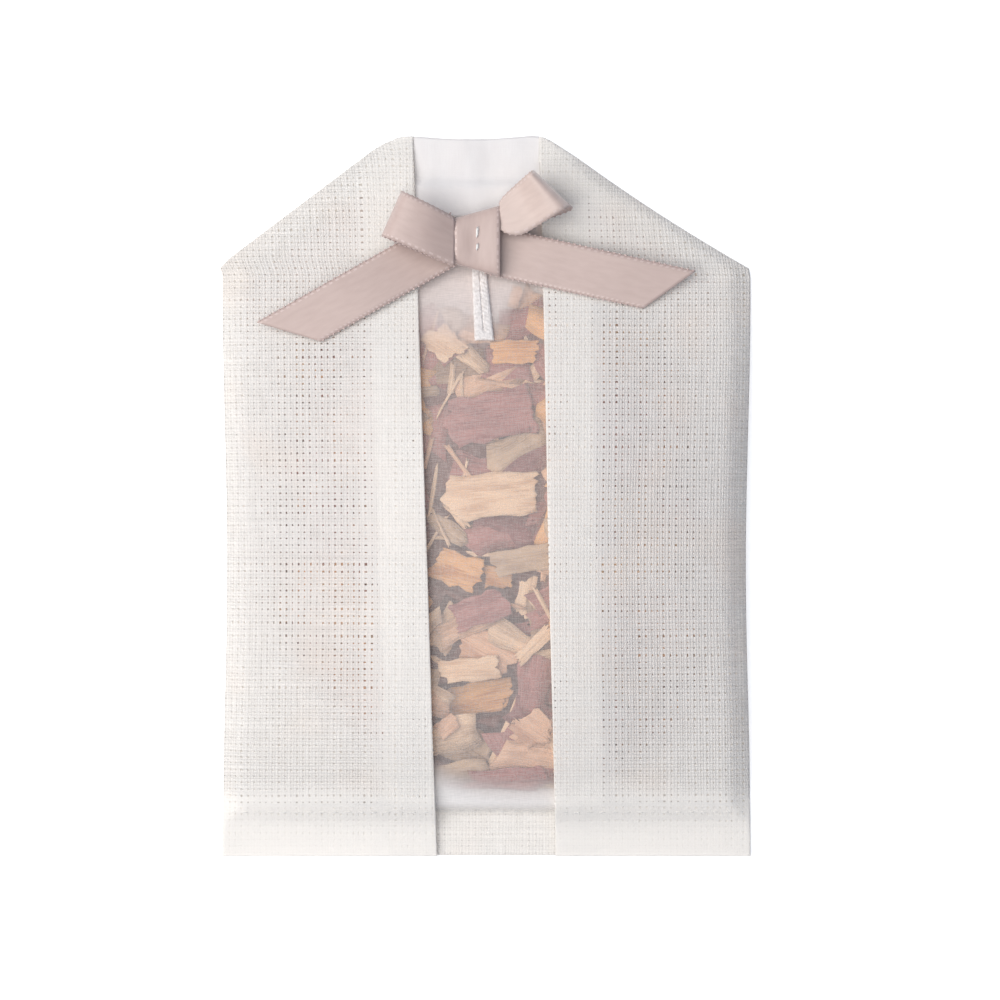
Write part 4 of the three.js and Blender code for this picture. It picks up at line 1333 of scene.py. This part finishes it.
@dataclass
class ShavingFill:
    """Wood shavings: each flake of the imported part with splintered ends, over a heap of smaller ones.

    Each row of placed flakes gives x, y, length, width, turn and tone.
    """

    wardrobe: Wardrobe
    form: SachetForm = FORM
    cuts: int = 5
    fibre_rise: float = 0.12
    splinter: float = 2.1
    slant: float = 0.65
    hidden: FlakeKind = FlakeKind(420, False, (7, 17), (2.4, 6.5))
    window: FlakeKind = FlakeKind(22, True, (10, 20), (5.0, 9.5))
    slivers: FlakeKind = FlakeKind(60, True, (6, 15), (0.5, 1.5))
    heap_seed: int = 5
    heap_drop: float = 1.9
    pocket: float = 0.7
    thickness: float = 0.35
    # dark colour of the heap's base: painted shade deep between the flakes
    bed_painted_shade: Colour = (0.16, 0.075, 0.062, 1.0)
    low_margin: float = 0.5
    heap_margin: float = 6.0
    heap_low: float = 5.0
    heap_high: float = 8.0
    torn_part: float = 0.5
    tear_out: float = 0.3
    tear_in: float = 1.3
    tear_scale: float = 2.9
    tear_apart: Pair = (4.0, 5.3)
    fibre_apart: float = 2.1
    grain_apart: Pair = (37.0, 11.0)
    fibre_scale: Pair = (0.12, 1.9)
    most_tilt: float = 0.03
    most_roll: float = 0.05
    most_curl: float = 0.02
    lifts: Pair = (0.05, 0.75)
    end_lengths: Pair = (0.62, 1.0)
    waist: float = 0.15
    waves: float = 6.0
    grain_spread: float = 500.0
    cells: tuple[int, int] = (6, 2)
    placed: tuple[tuple[float, float, float, float, float, str], ...] = (
        (-4.5, 29.5, 13.0, 4.0, -0.7, "wood_cream"),
        (8.2, 40.5, 7.0, 5.0, 0.9, "wood_peach"),
        (8.0, 36.0, 12.0, 8.0, 0.35, "wood_mauve"),
        (-9.0, 36.0, 12.0, 6.0, 0.2, "wood_olive"),
        (-1.0, 34.0, 12.0, 6.0, -0.2, "wood_peach"),
        (-10.5, 13.0, 12.0, 7.0, 1.4, "wood_mauve"),
        (6.6, 9.0, 15.0, 10.0, 0.5, "wood_olive"),
        (4.4, -7.5, 21.0, 8.0, 0.3, "wood_mauve"),
        (-8.0, -7.0, 11.0, 4.0, -0.6, "wood_olive"),
        (-5.0, -27.0, 13.0, 6.0, 0.5, "wood_peach"),
        (6.0, -30.0, 13.0, 6.0, -0.5, "wood_cream"),
        (9.7, -39.0, 14.0, 8.0, 1.4, "wood_mauve"),
        (-7.5, -50.0, 14.0, 8.0, 0.3, "wood_cream"),
        (9.0, -50.5, 13.0, 8.0, 0.6, "wood_peach"),
        (-6.0, -57.6, 15.0, 5.0, 0.15, "wood_olive"),
        (8.5, -57.4, 15.0, 4.5, -0.12, "wood_mauve"),
        (0.5, -58.6, 13.0, 4.0, 0.05, "wood_peach"),
        (-8.0, -60.0, 11.0, 2.6, 0.1, "wood_mauve"),
        (11.5, -59.6, 9.0, 3.0, -0.2, "wood_olive"),
        (3.5, -60.4, 20.0, 2.2, -0.03, "wood_mauve"),
    )

    def flake(self, node: str, slot: str, seed: int) -> bpy.types.Object:
        """Build one flake from the solid that it stands for.

        Args:
            node: name of the solid.
            slot: slot of the record, which names the tone.
            seed: start of its random splinters.

        Returns:
            The flake.
        """
        bm = packed_mesh(node)
        bmesh.ops.subdivide_edges(bm, edges=bm.edges[:], cuts=self.cuts, use_grid_fill=True)
        middle = sum((vert.co for vert in bm.verts), Vector()) / len(bm.verts)
        spread = [vert.co - middle for vert in bm.verts]
        slant = math.atan2(
            2 * sum(step.x * step.y for step in spread), sum(step.x**2 - step.y**2 for step in spread)
        ) / 2
        along = Vector((math.cos(slant), math.sin(slant), 0.0))
        across = Vector((-along.y, along.x, 0.0))
        reach = max(abs(step.dot(along)) for step in spread)
        uv = bm.loops.layers.uv.new("grain")
        draw = random.Random(seed)
        slants = [draw.uniform(-self.slant, self.slant) for _ in Side]
        for vert in bm.verts:
            step = vert.co - middle
            ahead, aside = step.dot(along), step.dot(across)
            for loop in vert.link_loops:
                loop[uv].uv = (ahead + seed * self.grain_apart[0], aside + seed * self.grain_apart[1])
            end = ease((abs(ahead) / reach - 1 + self.torn_part) / self.torn_part)
            ends, flakes = self.tear_apart
            jag = noise.noise((aside * self.tear_scale, math.copysign(ends, ahead), seed * flakes))
            tear = self.tear_out - self.tear_in * abs(jag)
            cut = slants[ahead > 0] * aside
            run, cross = self.fibre_scale
            fibre = noise.noise((ahead * run, aside * cross, seed * self.fibre_apart))
            torn = ahead + (math.copysign(self.splinter, ahead) * tear + cut) * end
            vert.co += along * (max(-reach, min(reach, torn)) - ahead)
            vert.co.z += self.fibre_rise * fibre
        return finish_piece(f"{node}_flake", bm, [self.wardrobe.wood(slot)], [node])

    def small_flake(
        self, bm: Mesh, draw: random.Random, at: Pair, size: Pair, tone: Colour, turn: float
    ) -> None:
        """Add one small curled flake that lies on the heap.

        Args:
            bm: mesh of the flakes.
            draw: source of its random turn and tears.
            at: place of its middle.
            size: its length and width.
            tone: its colour.
            turn: direction of its length.
        """
        form = self.form
        length, width = size
        tilt, roll = (draw.uniform(-most, most) for most in (self.most_tilt, self.most_roll))
        curl = draw.uniform(0.0, self.most_curl)
        lift = draw.uniform(*self.lifts)
        tears = [draw.uniform(*self.end_lengths) for _ in range(6)]
        wave = draw.uniform(0, self.waves)

        def place(u: float, v: float) -> Vector:
            """Point of the flake."""
            tear = tears[round(v * 2) + (3 if u > 0.5 else 0)]
            a = (u - 0.5) * length * tear
            b = (v - 0.5) * width * (1 - self.waist + self.waist * math.sin(self.waves * u + wave))
            x = at[0] + a * math.cos(turn) - b * math.sin(turn)
            y = at[1] + a * math.sin(turn) + b * math.cos(turn)
            y = max(y, form.fill_low + self.low_margin)
            left, right = form.fill_sides(y)
            x = max(left + self.low_margin, min(right - self.low_margin, x))
            top = form.bag_front(x, y)
            lowest = max(top - self.heap_drop, form.bag_back(x, y) + form.gap + self.thickness)
            height = top - self.heap_drop + lift + a * tilt + b * roll - curl * b * b
            return Vector((x, y, max(lowest, min(top - form.gap - 2 * self.thickness, height))))

        grain = bm.loops.layers.uv["grain"]
        shade = bm.loops.layers.float_color["tone"]
        offset = Vector((draw.uniform(0, self.grain_spread), draw.uniform(0, self.grain_spread)))
        for vert in shaped_grid(bm, *self.cells, place, size, "grain"):
            for loop in vert.link_loops:
                loop[grain].uv += offset
                loop[shade] = tone

    def spot(self, draw: random.Random, shown: bool, ground: BVHTree) -> Optional[Pair]:
        """Random place on the heap.

        Args:
            draw: source of the place.
            shown: whether it is in the opening.
            ground: the heap's solid.

        Returns:
            The place, or none where a larger shaving lies in the heap.
        """
        form = self.form
        y = draw.uniform(form.fill_low + self.heap_low, form.fill_high - self.heap_high)
        opening = form.opening_edges(y)
        margin = form.bag_margin + form.fill_margin + self.heap_margin
        x = draw.uniform(*(opening if shown else form.inset_sides(y, margin)))
        if not shown and opening[0] < x < opening[1]:
            return None
        hit = ground.ray_cast(Vector((x, y, form.fill_height * 3)), Vector((0, 0, -1)))[0]
        if hit is None or hit.z < form.bag_front(x, y) - self.heap_drop - self.pocket:
            return None
        return x, y

    def heap(self) -> bpy.types.Object:
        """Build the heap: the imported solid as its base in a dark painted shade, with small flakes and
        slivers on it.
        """
        draw = random.Random(self.heap_seed)
        bm = packed_mesh("shaving_bed")
        bm.loops.layers.uv.new("grain")
        shade = bm.loops.layers.float_color.new("tone")
        # the base is coloured with the painted shade
        base = bm.faces[:]
        for face in base:
            for loop in face.loops:
                loop[shade] = self.bed_painted_shade
        ground = BVHTree.FromBMesh(bm)
        tones = [light for light, _ in WOOD_TONES.values()]
        mauve, olive, peach = (WOOD_TONES[f"wood_{tone}"] for tone in ("mauve", "olive", "peach"))
        # window flakes: some take the deep ends of the tones as painted shade between the larger shavings,
        # the rest their own tones
        shaded = [mauve[0]] * 3 + [mauve[1]] * 2 + [olive[0], peach[0], olive[1], peach[1]]
        cream = WOOD_TONES["wood_cream"][0]
        kinds = ((self.hidden, tones), (self.window, shaded), (self.slivers, [cream, cream, peach[0]]))
        for x, y, length, width, turn, tone in self.placed:
            self.small_flake(bm, draw, (x, y), (length, width), WOOD_TONES[tone][0], turn)
        for kind, choice in kinds:
            for _ in range(kind.count):
                at = self.spot(draw, kind.shown, ground)
                size = (draw.uniform(*kind.lengths), draw.uniform(*kind.widths))
                tone = draw.choice(choice)
                if at:
                    self.small_flake(bm, draw, at, size, tone, draw.uniform(0, 2 * math.pi))
        bm.faces.ensure_lookup_table()
        bmesh.ops.solidify(bm, geom=bm.faces[len(base):], thickness=self.thickness)
        return finish_piece("shaving_heap", bm, [self.wardrobe.heap], ["shaving_bed"])

    def build(self) -> None:
        """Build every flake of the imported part, and the heap."""
        for row in frame["record"]["subparts"]:
            node = row["node"]
            if node.startswith("shaving_") and node != "shaving_bed":
                self.flake(node, row["material_slot"], int(node[-2:]))
        self.heap()


@dataclass(frozen=True)
class RibbonEnd:
    """Run of ribbon out of the knot: its length and turn, and how far up the knot it leaves."""

    side: Side
    length: float
    turn: float
    rise: float
    root: float = 0.0
    cut: float = 0.0
    root_width: float = 10.0
    skew: float = 0.0
    under_shift: float = 0.0
    bulge: float = 0.0
    crest: Pair = (0.85, 0.92)

    @property
    def along(self) -> Vector:
        """Direction of the run."""
        return Vector((math.cos(math.radians(self.turn)), math.sin(math.radians(self.turn)), 0.0))

    @property
    def across(self) -> Vector:
        """Direction to the left of the run."""
        return Vector((-self.along.y, self.along.x, 0.0))


@dataclass
class SatinBow:
    """Flat-tied bow of satin ribbon with picot selvedges, tacked to the neck.

    Each tack has a name and two ends along the knot. Each of its strands has its offset across and along,
    its lean, the share of the tack that one half of it takes, as a divisor, and its radius.
    """

    wardrobe: Wardrobe
    form: SachetForm = FORM
    width: float = 10.0
    satin: float = 0.5
    sheet: float = 0.28
    knot_width: float = 9.6
    knot_left: float = 9.4
    knot_right: float = 14.8
    knot_thickness: float = 5.5
    knot_shift: float = -2.0
    knot_from_top: float = 22.6
    tail_exit: float = 1.7
    tail_drop: float = 9.0
    loop_height: float = 5.5
    loop_root_low: float = 0.45
    loop_root_high: float = 1.8
    loop_inside: float = 0.1
    flare: float = 0.52
    bulge_end: float = 0.4
    gather: float = 0.1
    picot_pitch: float = 1.2
    picot: float = 0.2
    picot_long: float = 1.5
    probe: float = 3.0
    knot_probes: tuple[int, int] = (6, 8)
    loop_probes: int = 6
    ease_span: int = 4
    tail_inside: float = -2.0
    tail_columns: int = 44
    tail_lift: float = 0.15
    tail_dish: float = 0.12
    tail_wave: Pair = (0.1, 0.33)
    tail_bend: Pair = (-1.5, 4.0)
    loop_columns: int = 56
    loop_fold: float = 0.6
    under_soft: float = 0.2
    bulge_soft: float = 0.1
    gather_waves: float = 7.0
    under_gather: float = 0.3
    knot_columns: int = 40
    knot_round: Pair = (0.8, 0.55)
    dent: float = 0.55
    dent_reach: float = 2.4
    ribbon_rows: int = 10
    tack_sunk: float = 0.3
    tack_ends: tuple[tuple[str, float, float], ...] = (("upper_tack", 3.1, 0.3), ("lower_tack", -0.5, -2.2))
    strands: tuple[tuple[float, float, float, float, float], ...] = (
        (0.0, 0.0, 0.06, 2.0, 0.2),
        (0.24, 0.2, 0.04, 2.3, 0.13),
    )
    left_loop: RibbonEnd = RibbonEnd(Side.LEFT, 13.9, 156.0, -0.2, root_width=9.0)
    right_loop: RibbonEnd = RibbonEnd(
        Side.RIGHT, 12.1, 27.6, 5.1, root_width=4.8, skew=-0.34,
        under_shift=-0.8, bulge=1.0, crest=(0.52, 1.06),
    )
    left_tail: RibbonEnd = RibbonEnd(Side.LEFT, 39.2, 209.7, 0.5, root=11.5, cut=-4.8)
    right_tail: RibbonEnd = RibbonEnd(Side.RIGHT, 36.0, -12.6, -2.25, root=1.5, cut=4.5)

    @property
    def knot_y(self) -> float:
        """Middle of the knot along the sachet."""
        return self.form.top_y - self.knot_from_top

    def knot_side(self, side: Side) -> float:
        """Left or right side of the knot."""
        return self.knot_shift + side.value * self.knot_width / 2

    def knot_half(self, x: float) -> float:
        """Half the knot's height at a place across it."""
        across = (x - self.knot_side(Side.LEFT)) / self.knot_width
        return lerp(self.knot_left, self.knot_right, across) / 2

    def knot_low(self) -> float:
        """Underside of the knot, clear of the cloth below it."""
        heights = []
        columns, rows = self.knot_probes
        for column in range(columns + 1):
            x = lerp(self.knot_side(Side.LEFT), self.knot_side(Side.RIGHT), column / columns)
            half = self.knot_half(x)
            for row in range(rows + 1):
                heights.append(self.form.cloth_top(x, self.knot_y + lerp(-half, half, row / rows)))
        return max(heights) + self.form.gap

    def start(self, end: RibbonEnd) -> Vector:
        """Place where a run of ribbon leaves the knot."""
        return Vector((self.knot_side(end.side), self.knot_y + end.rise, 0.0))

    def seat(self, place: Vector, end: RibbonEnd) -> float:
        """Height that the ribbon needs to clear the cloth at a place along it."""
        heights = []
        for aside in (-0.5, -0.25, 0.0, 0.25, 0.5):
            for ahead in (-0.5, 0.0, 0.5):
                spot = place + end.across * (aside * self.width) + end.along * (ahead * self.probe)
                heights.append(self.form.cloth_top(spot.x, spot.y))
        return max(heights) + self.form.gap

    def tail_height(self, distance: float, tail: RibbonEnd) -> float:
        """Underside of a tail: it leaves the knot above the cloth and comes down to lie on it."""
        seat = self.seat(self.start(tail) + tail.along * distance, tail)
        return max(seat, lerp(self.knot_low() + self.tail_exit, seat, ease(distance / self.tail_drop)))

    def selvedge(self, bm: Mesh, line: Sequence[Vector]) -> None:
        """Add picots along an edge of ribbon.

        Args:
            bm: the ribbon's mesh.
            line: points along the edge.
        """
        left_over = 0.0
        for first, second in zip(line, line[1:]):
            run = second - first
            distance = left_over
            while distance < run.length:
                at = first + run * (distance / run.length)
                add_bead(bm, at, run, self.picot * self.picot_long, self.picot, 1)
                distance += self.picot_pitch
            left_over = distance - run.length

    def strip(self, bm: Mesh, columns: int, place: Place, length: float, picots: bool = True) -> None:
        """Add a strip of ribbon with its thickness and its picots.

        Args:
            bm: mesh to add to.
            columns: cells along the ribbon.
            place: point for a share along and a share across.
            length: real length.
            picots: whether the selvedges show.
        """
        shaped_grid(bm, columns, self.ribbon_rows, place, (length, self.width))
        bmesh.ops.recalc_face_normals(bm, faces=bm.faces[:])
        bmesh.ops.solidify(bm, geom=bm.faces[:], thickness=self.sheet)
        if not picots:
            return
        steps = [index / columns for index in range(columns + 1)]
        for v in (0.0, 1.0):
            self.selvedge(bm, [place(u, v) for u in steps])

    def spans(self, values: Sequence[float]) -> list[Sequence[float]]:
        """Neighbours of each value, with itself."""
        reach = self.ease_span
        return [values[max(0, index - reach): index + reach + 1] for index in range(len(values))]

    def tail(self, tail: RibbonEnd, body: Body) -> bpy.types.Object:
        """Build a tail from inside the knot to its slanted end, bending where it lifts."""
        inside, columns = self.tail_inside, self.tail_columns
        runs = [lerp(inside, tail.length, index / columns) for index in range(columns + 1)]
        highest = [max(span) for span in self.spans([self.tail_height(run, tail) for run in runs])]
        eased = [sum(span) / len(span) for span in self.spans(highest)]
        wave, pace = self.tail_wave

        def place(u: float, v: float) -> Vector:
            """Point of the tail."""
            distance = lerp(inside, tail.length, u)
            side = 2 * v - 1
            slant = tail.cut * side * ease((distance - tail.root) / (tail.length - tail.root))
            spot = self.start(tail) + tail.along * (distance + slant) + tail.across * (side * self.width / 2)
            dish = self.tail_dish * side * side + wave * math.sin(distance * pace)
            return spot + Vector((0, 0, eased[round(u * columns)] + self.tail_lift + dish))

        bm = bmesh.new()
        self.strip(bm, columns, place, tail.length - inside)
        finishes = [self.wardrobe.satin, self.wardrobe.picot]
        node = f"ribbon_{body.value}"
        piece = finish_piece(f"satin_{body.value}", bm, finishes, [node], None)
        bend = [(self.start(tail) + tail.along * (tail.root + step)) * MM for step in self.tail_bend]
        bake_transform(piece, Body.SACHET.value, body.value, start=bend[0], end=bend[1])
        return piece

    def loop(self, loop: RibbonEnd, tail: RibbonEnd) -> bpy.types.Object:
        """Build a loop: out along its lower run, round its outer fold and back above it.

        Args:
            loop: the loop's run.
            tail: the tail that leaves the knot under it.

        Returns:
            The loop.
        """
        origin = self.start(loop) - loop.along * self.loop_inside
        last = self.loop_probes
        steps = range(last + 1)
        under = [self.seat(origin + loop.along * (loop.length * step / last), loop) for step in steps]
        roots = [self.tail_height(tail.root * step / last, tail) for step in steps]
        base = max(*under, *roots) + self.satin + 2 * self.form.gap
        tall = self.loop_height
        bend = [
            (0.0, self.loop_root_low), (0.5, self.satin / 2), (0.88, 0.15 * tall), (1.0, 0.5 * tall),
            (0.86, loop.crest[1] * tall), (0.45, loop.crest[0] * tall), (0.0, self.loop_root_high),
        ]
        route = [Vector((loop.length * out, up)) for out, up in bend]
        root_slant = -loop.across.x / loop.along.x

        def place(u: float, v: float) -> Vector:
            """Point of the loop."""
            at = point_on(route, u)
            side = 2 * v - 1
            out = share(at.x / loop.length)
            flared = out**self.flare
            lower = ease((self.loop_fold - u) / self.under_soft) * out
            bulged = loop.bulge if side < 0 and u > 0.5 else 0.0
            if bulged:
                swelled = math.sin(math.pi / 2 * share(out / self.bulge_end))
                flared = lerp(swelled, flared, ease((self.loop_fold - u) / self.bulge_soft))
            half = lerp(loop.root_width, self.width, flared) / 2 + bulged * flared * (1 - out)
            aside = side * half + loop.under_shift * lower
            slant = aside * lerp(root_slant, loop.skew, out)
            gather = self.gather * math.cos(side * self.gather_waves) * (1 - out) ** 2
            spot = origin + loop.along * (at.x + slant) + loop.across * aside
            return spot + Vector((0, 0, base + at.y + gather * (1 if u > 0.5 else self.under_gather)))

        bm = bmesh.new()
        self.strip(bm, self.loop_columns, place, 2 * loop.length + self.loop_height)
        name = loop.side.name.lower()
        # the right loop takes the lighter satin, a painted sheen
        face = self.wardrobe.sheen_painted_satin if loop.side is Side.RIGHT else self.wardrobe.satin
        finishes = [face, self.wardrobe.picot]
        piece = finish_piece(f"satin_{name}_loop", bm, finishes, [f"ribbon_{name}_loop"])
        return piece

    def knot(self) -> bpy.types.Object:
        """Build the knot: a band of ribbon wrapped over the bow's middle, drawn in at its tacks."""
        low = self.knot_low()
        along_round, up_round = self.knot_round

        def place(u: float, v: float) -> Vector:
            """Point of the band, at a share round it and a share across."""
            x = lerp(self.knot_side(Side.LEFT), self.knot_side(Side.RIGHT), v)
            angle = 2 * math.pi * u
            flat_y = math.copysign(abs(math.cos(angle)) ** along_round, math.cos(angle))
            flat_z = math.copysign(abs(math.sin(angle)) ** up_round, math.sin(angle))
            near_tacks = math.exp(-(((x - self.knot_shift) / self.dent_reach) ** 2))
            dent = self.dent * near_tacks * max(0.0, flat_z)
            y = self.knot_y + self.knot_half(x) * flat_y
            return Vector((x, y, low + self.knot_thickness / 2 * (1 + flat_z) - dent))

        bm = bmesh.new()
        self.strip(bm, self.knot_columns, place, 2 * self.knot_right, picots=False)
        bmesh.ops.remove_doubles(bm, verts=bm.verts[:], dist=CLOSE)
        return finish_piece("satin_knot", bm, [self.wardrobe.satin], ["ribbon_knot"])

    def tacks(self) -> None:
        """Build the two tack stitches on the knot, each of a thick and a thin strand."""
        top = self.knot_low() + self.knot_thickness - self.tack_sunk
        for name, start, end in self.tack_ends:
            bm = bmesh.new()
            middle = Vector((self.knot_shift, self.knot_y + (start + end) / 2, top))
            for aside, ahead, lean, part, radius in self.strands:
                at = middle + Vector((aside, ahead, 0.0))
                add_bead(bm, at, Vector((lean, 1.0, 0.0)), abs(start - end) / part, radius)
            finish_piece(f"{name}_thread", bm, [self.wardrobe.thread], [f"{name}_stitch"])

    def build(self) -> None:
        """Build the bow and its stitches."""
        self.tail(self.left_tail, Body.LEFT_TAIL)
        self.tail(self.right_tail, Body.RIGHT_TAIL)
        self.loop(self.left_loop, self.left_tail)
        self.loop(self.right_loop, self.right_tail)
        self.knot()
        self.tacks()


def point_on(route: Sequence[Vector], along: float) -> Vector:
    """Point on a smooth curve through the points of a route.

    Args:
        route: points that the curve passes through.
        along: share of the way, counted evenly over the points.

    Returns:
        The point.
    """
    last = len(route) - 1
    first = min(int(along * last), last - 1)
    t = along * last - first
    a, b, c, d = (route[min(max(first + step, 0), last)] for step in (-1, 0, 1, 2))
    return 0.5 * (2 * b + (c - a) * t + (2 * a - 5 * b + 4 * c - d) * t**2 + (3 * b - a - 3 * c + d) * t**3)


@dataclass
class TapeLoop:
    """Hanging loop of fuzzy tape: two runs side by side with a groove between, and a squared fold."""

    wardrobe: Wardrobe
    bow: SatinBow
    form: SachetForm = FORM
    width: float = 4.1
    top_share: float = 0.8
    lean: float = 1.0
    length: float = 13.0
    shift: float = 1.1
    slot: float = 0.36
    fold: float = 1.6
    thickness: float = 0.8
    under_knot: float = 2.5
    fuzz: float = 0.09
    sheet: float = 0.2
    end_round: float = 0.6
    fold_round: float = 0.8
    run_height: float = 0.9
    run_square: int = 6
    groove_depth: float = 0.75
    groove_sharp: float = 5.0
    groove_wave: Triple = (0.7, 0.3, 3.1)
    fuzz_scale: Pair = (4.2, 2.6)
    knit_pace: Pair = (7.0, 3.0)
    edge_sway: Pair = (0.08, 1.6)
    bend: Pair = (0.6, -2.4)
    cells: tuple[int, int] = (36, 90)

    def build(self) -> bpy.types.Object:
        """Build the tape, which starts under the knot."""
        form = self.form
        top = self.bow.knot_y - self.bow.knot_right / 2 - form.gap
        middle = self.bow.knot_shift + self.shift
        low = top - self.length
        high = top + self.under_knot

        def place(u: float, v: float) -> Vector:
            """Point of the tape, rounded over each run."""
            x, y = lerp(-self.width / 2, self.width / 2, u), lerp(low, high, v)
            near_top = share((y - low) / self.length)
            lean = lerp(self.lean / 2, -self.lean / 2, near_top)
            leant = middle + lean + x * lerp(1.0, self.top_share, near_top)
            rounded = math.sqrt(max(0.0, 1 - (2 * x / self.width) ** self.run_square))
            end = math.sqrt(share((y - low) / self.end_round))
            above_fold = ease((y - low - self.fold) / self.fold_round)
            mean, wave, pace = self.groove_wave
            sewn = math.exp(-((x / self.slot) ** 2) * self.groove_sharp)
            groove = sewn * above_fold * (mean + wave * math.sin(y * pace))
            hairs = noise.noise((x * self.fuzz_scale[0], y * self.fuzz_scale[1], 1.0))
            knit = self.fuzz * (hairs + math.sin(y * self.knit_pace[0] + abs(x) * self.knit_pace[1]) * 0.5)
            seat = form.bag_front(middle, y) + form.voile / 2 + form.gap
            rise = self.thickness * (self.run_height * rounded * end - self.groove_depth * groove)
            sway = self.edge_sway[0] * noise.noise((y * self.edge_sway[1], 3.0, 0.0))
            return Vector((leant + sway, y, seat + rise + knit))

        bm = bmesh.new()
        shaped_grid(bm, *self.cells, place, (self.width, self.length))
        bmesh.ops.solidify(bm, geom=bm.faces[:], thickness=self.sheet)
        piece = finish_piece("fuzzy_tape", bm, [self.wardrobe.tape], ["hanging_loop"], None)
        height = form.bag_front(middle, top)
        bend = [Vector((middle, top + step, height)) * MM for step in self.bend]
        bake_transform(piece, Body.SACHET.value, Body.TAPE_LOOP.value, start=bend[0], end=bend[1])
        return piece


@dataclass
class HemStitching:
    """Rows of small stitches along the hems."""

    wardrobe: Wardrobe
    form: SachetForm = FORM
    inset: float = 1.2
    end: float = 2.0
    pitch: float = 2.6
    stitch: float = 0.8
    radius: float = 0.075
    sunk: float = 0.05
    wobble: float = 0.12
    wobble_turn: float = 0.1

    def row(self, node: str, left: float, right: float, height: Callable[[float], float]) -> None:
        """Build one row of stitches.

        Args:
            node: solid that the row stands for.
            left: first place across.
            right: last place across.
            height: height of the cloth at a place across.
        """
        y = self.form.hem_line - self.inset
        bm = bmesh.new()
        count = int((right - left) / self.pitch)
        for index in range(count + 1):
            x = lerp(left, right, index / count)
            wobble = self.wobble * noise.noise((x, y, 2.0))
            rise = height(x + self.stitch) - height(x - self.stitch)
            run = Vector((2 * self.stitch, self.wobble_turn * wobble, rise))
            add_bead(bm, Vector((x, y + wobble, height(x) - self.sunk)), run, self.stitch, self.radius)
        finish_piece(f"{node}_stitches", bm, [self.wardrobe.thread], [node])

    def build(self) -> None:
        """Build the rows of the two fronts and of the back between them."""
        form = self.form
        y = form.hem_line - self.inset
        (outer_left, outer_right), (left, right) = form.cover_sides(y), form.opening_edges(y)
        rows = (
            ("left", outer_left, left, lambda x: form.front_top(x, y, Side.LEFT)),
            ("right", right, outer_right, lambda x: form.front_top(x, y, Side.RIGHT)),
            ("back", left, right, lambda x: form.back_top(x, y)),
        )
        for name, start, end, height in rows:
            self.row(f"{name}_hem_thread", start + self.end, end - self.end, height)


@dataclass
class Studio:
    """Camera straight above, a pale floor and soft light from the left."""

    frame_width: float = 207.5
    centre: Pair = (2.8, -1.04)
    outline_height: float = 5.0
    lens: float = 150.0
    sensor: float = 36.0
    key_power: float = 5.5
    key_place: Triple = (-0.28, 0.03, 0.54)
    key_size: float = 0.72
    key_colour: Triple = (1.0, 0.962, 0.915)
    sky: float = 0.26
    sky_colour: Colour = (0.78, 0.94, 1.24, 1.0)
    paper: Colour = (0.93, 0.93, 0.93, 1.0)
    floor_half: float = 2.0
    floor_glow: float = 0.6
    near_floor: float = 0.2
    far_floor: float = 0.5

    def camera(self) -> None:
        """Make the camera at the photograph's angle."""
        data = bpy.data.cameras.new("camera")
        data.lens = self.lens
        data.sensor_width = self.sensor
        camera = bpy.data.objects.new("camera", data)
        away = self.frame_width * self.lens / self.sensor + self.outline_height
        camera.location = Vector((*self.centre, away)) * MM
        bpy.context.scene.collection.objects.link(camera)
        bpy.context.scene.camera = camera

    def floor(self) -> None:
        """Make the floor, white to the camera and plain to the light."""
        sketch = NodeSketch("pale_floor")
        paper = sketch.add("ShaderNodeBsdfDiffuse", {"Color": self.paper})
        away = sketch.add("ShaderNodeVectorMath", {0: sketch.place()}, operation="LENGTH").outputs["Value"]
        glow = sketch.span(away, (self.near_floor, self.far_floor), (self.floor_glow, 1.0))
        lift = sketch.add("ShaderNodeEmission", {"Color": (1.0, 1.0, 1.0, 1.0), "Strength": glow})
        both = sketch.add("ShaderNodeAddShader", {0: paper.outputs[0], 1: lift.outputs[0]})
        bm = bmesh.new()
        bmesh.ops.create_grid(bm, x_segments=1, y_segments=1, size=self.floor_half)
        mesh = bpy.data.meshes.new("floor")
        bm.to_mesh(mesh)
        bm.free()
        mesh.materials.append(sketch.close(sketch.mix(sketch.seen(), paper, both)))
        floor = bpy.data.objects.new("floor", mesh)
        bpy.context.scene.collection.objects.link(floor)

    def light(self) -> None:
        """Make the soft key light on the left and the even light of the room."""
        data = bpy.data.lights.new("key", "AREA")
        data.energy = self.key_power
        data.size = self.key_size
        data.color = self.key_colour
        key = bpy.data.objects.new("key", data)
        key.location = self.key_place
        key.rotation_euler = (-Vector(self.key_place)).to_track_quat("-Z", "Y").to_euler()
        bpy.context.scene.collection.objects.link(key)
        sketch = NodeSketch("room", world=True)
        room = sketch.add("ShaderNodeBackground", {"Color": self.sky_colour, "Strength": self.sky})
        white = sketch.add("ShaderNodeBackground", {"Strength": 1.0})
        bpy.context.scene.world = sketch.close(sketch.mix(sketch.seen(), room, white))

    def build(self) -> None:
        """Set up the camera, the floor and the light."""
        bpy.context.scene.view_settings.view_transform = "Standard"
        self.camera()
        self.floor()
        self.light()


def main() -> None:
    """Build the studio and then each sub-assembly, from the floor up."""
    logging.basicConfig(level=logging.INFO, format="%(name)s: %(message)s")
    Studio().build()
    wardrobe = Wardrobe()
    bow = SatinBow(wardrobe)
    LinenCover(wardrobe).build()
    NeckFacing(wardrobe).build()
    SheerBag(wardrobe).build()
    ShavingFill(wardrobe).build()
    bow.build()
    TapeLoop(wardrobe, bow).build()
    HemStitching(wardrobe).build()


if __name__ == "__main__":
    main()
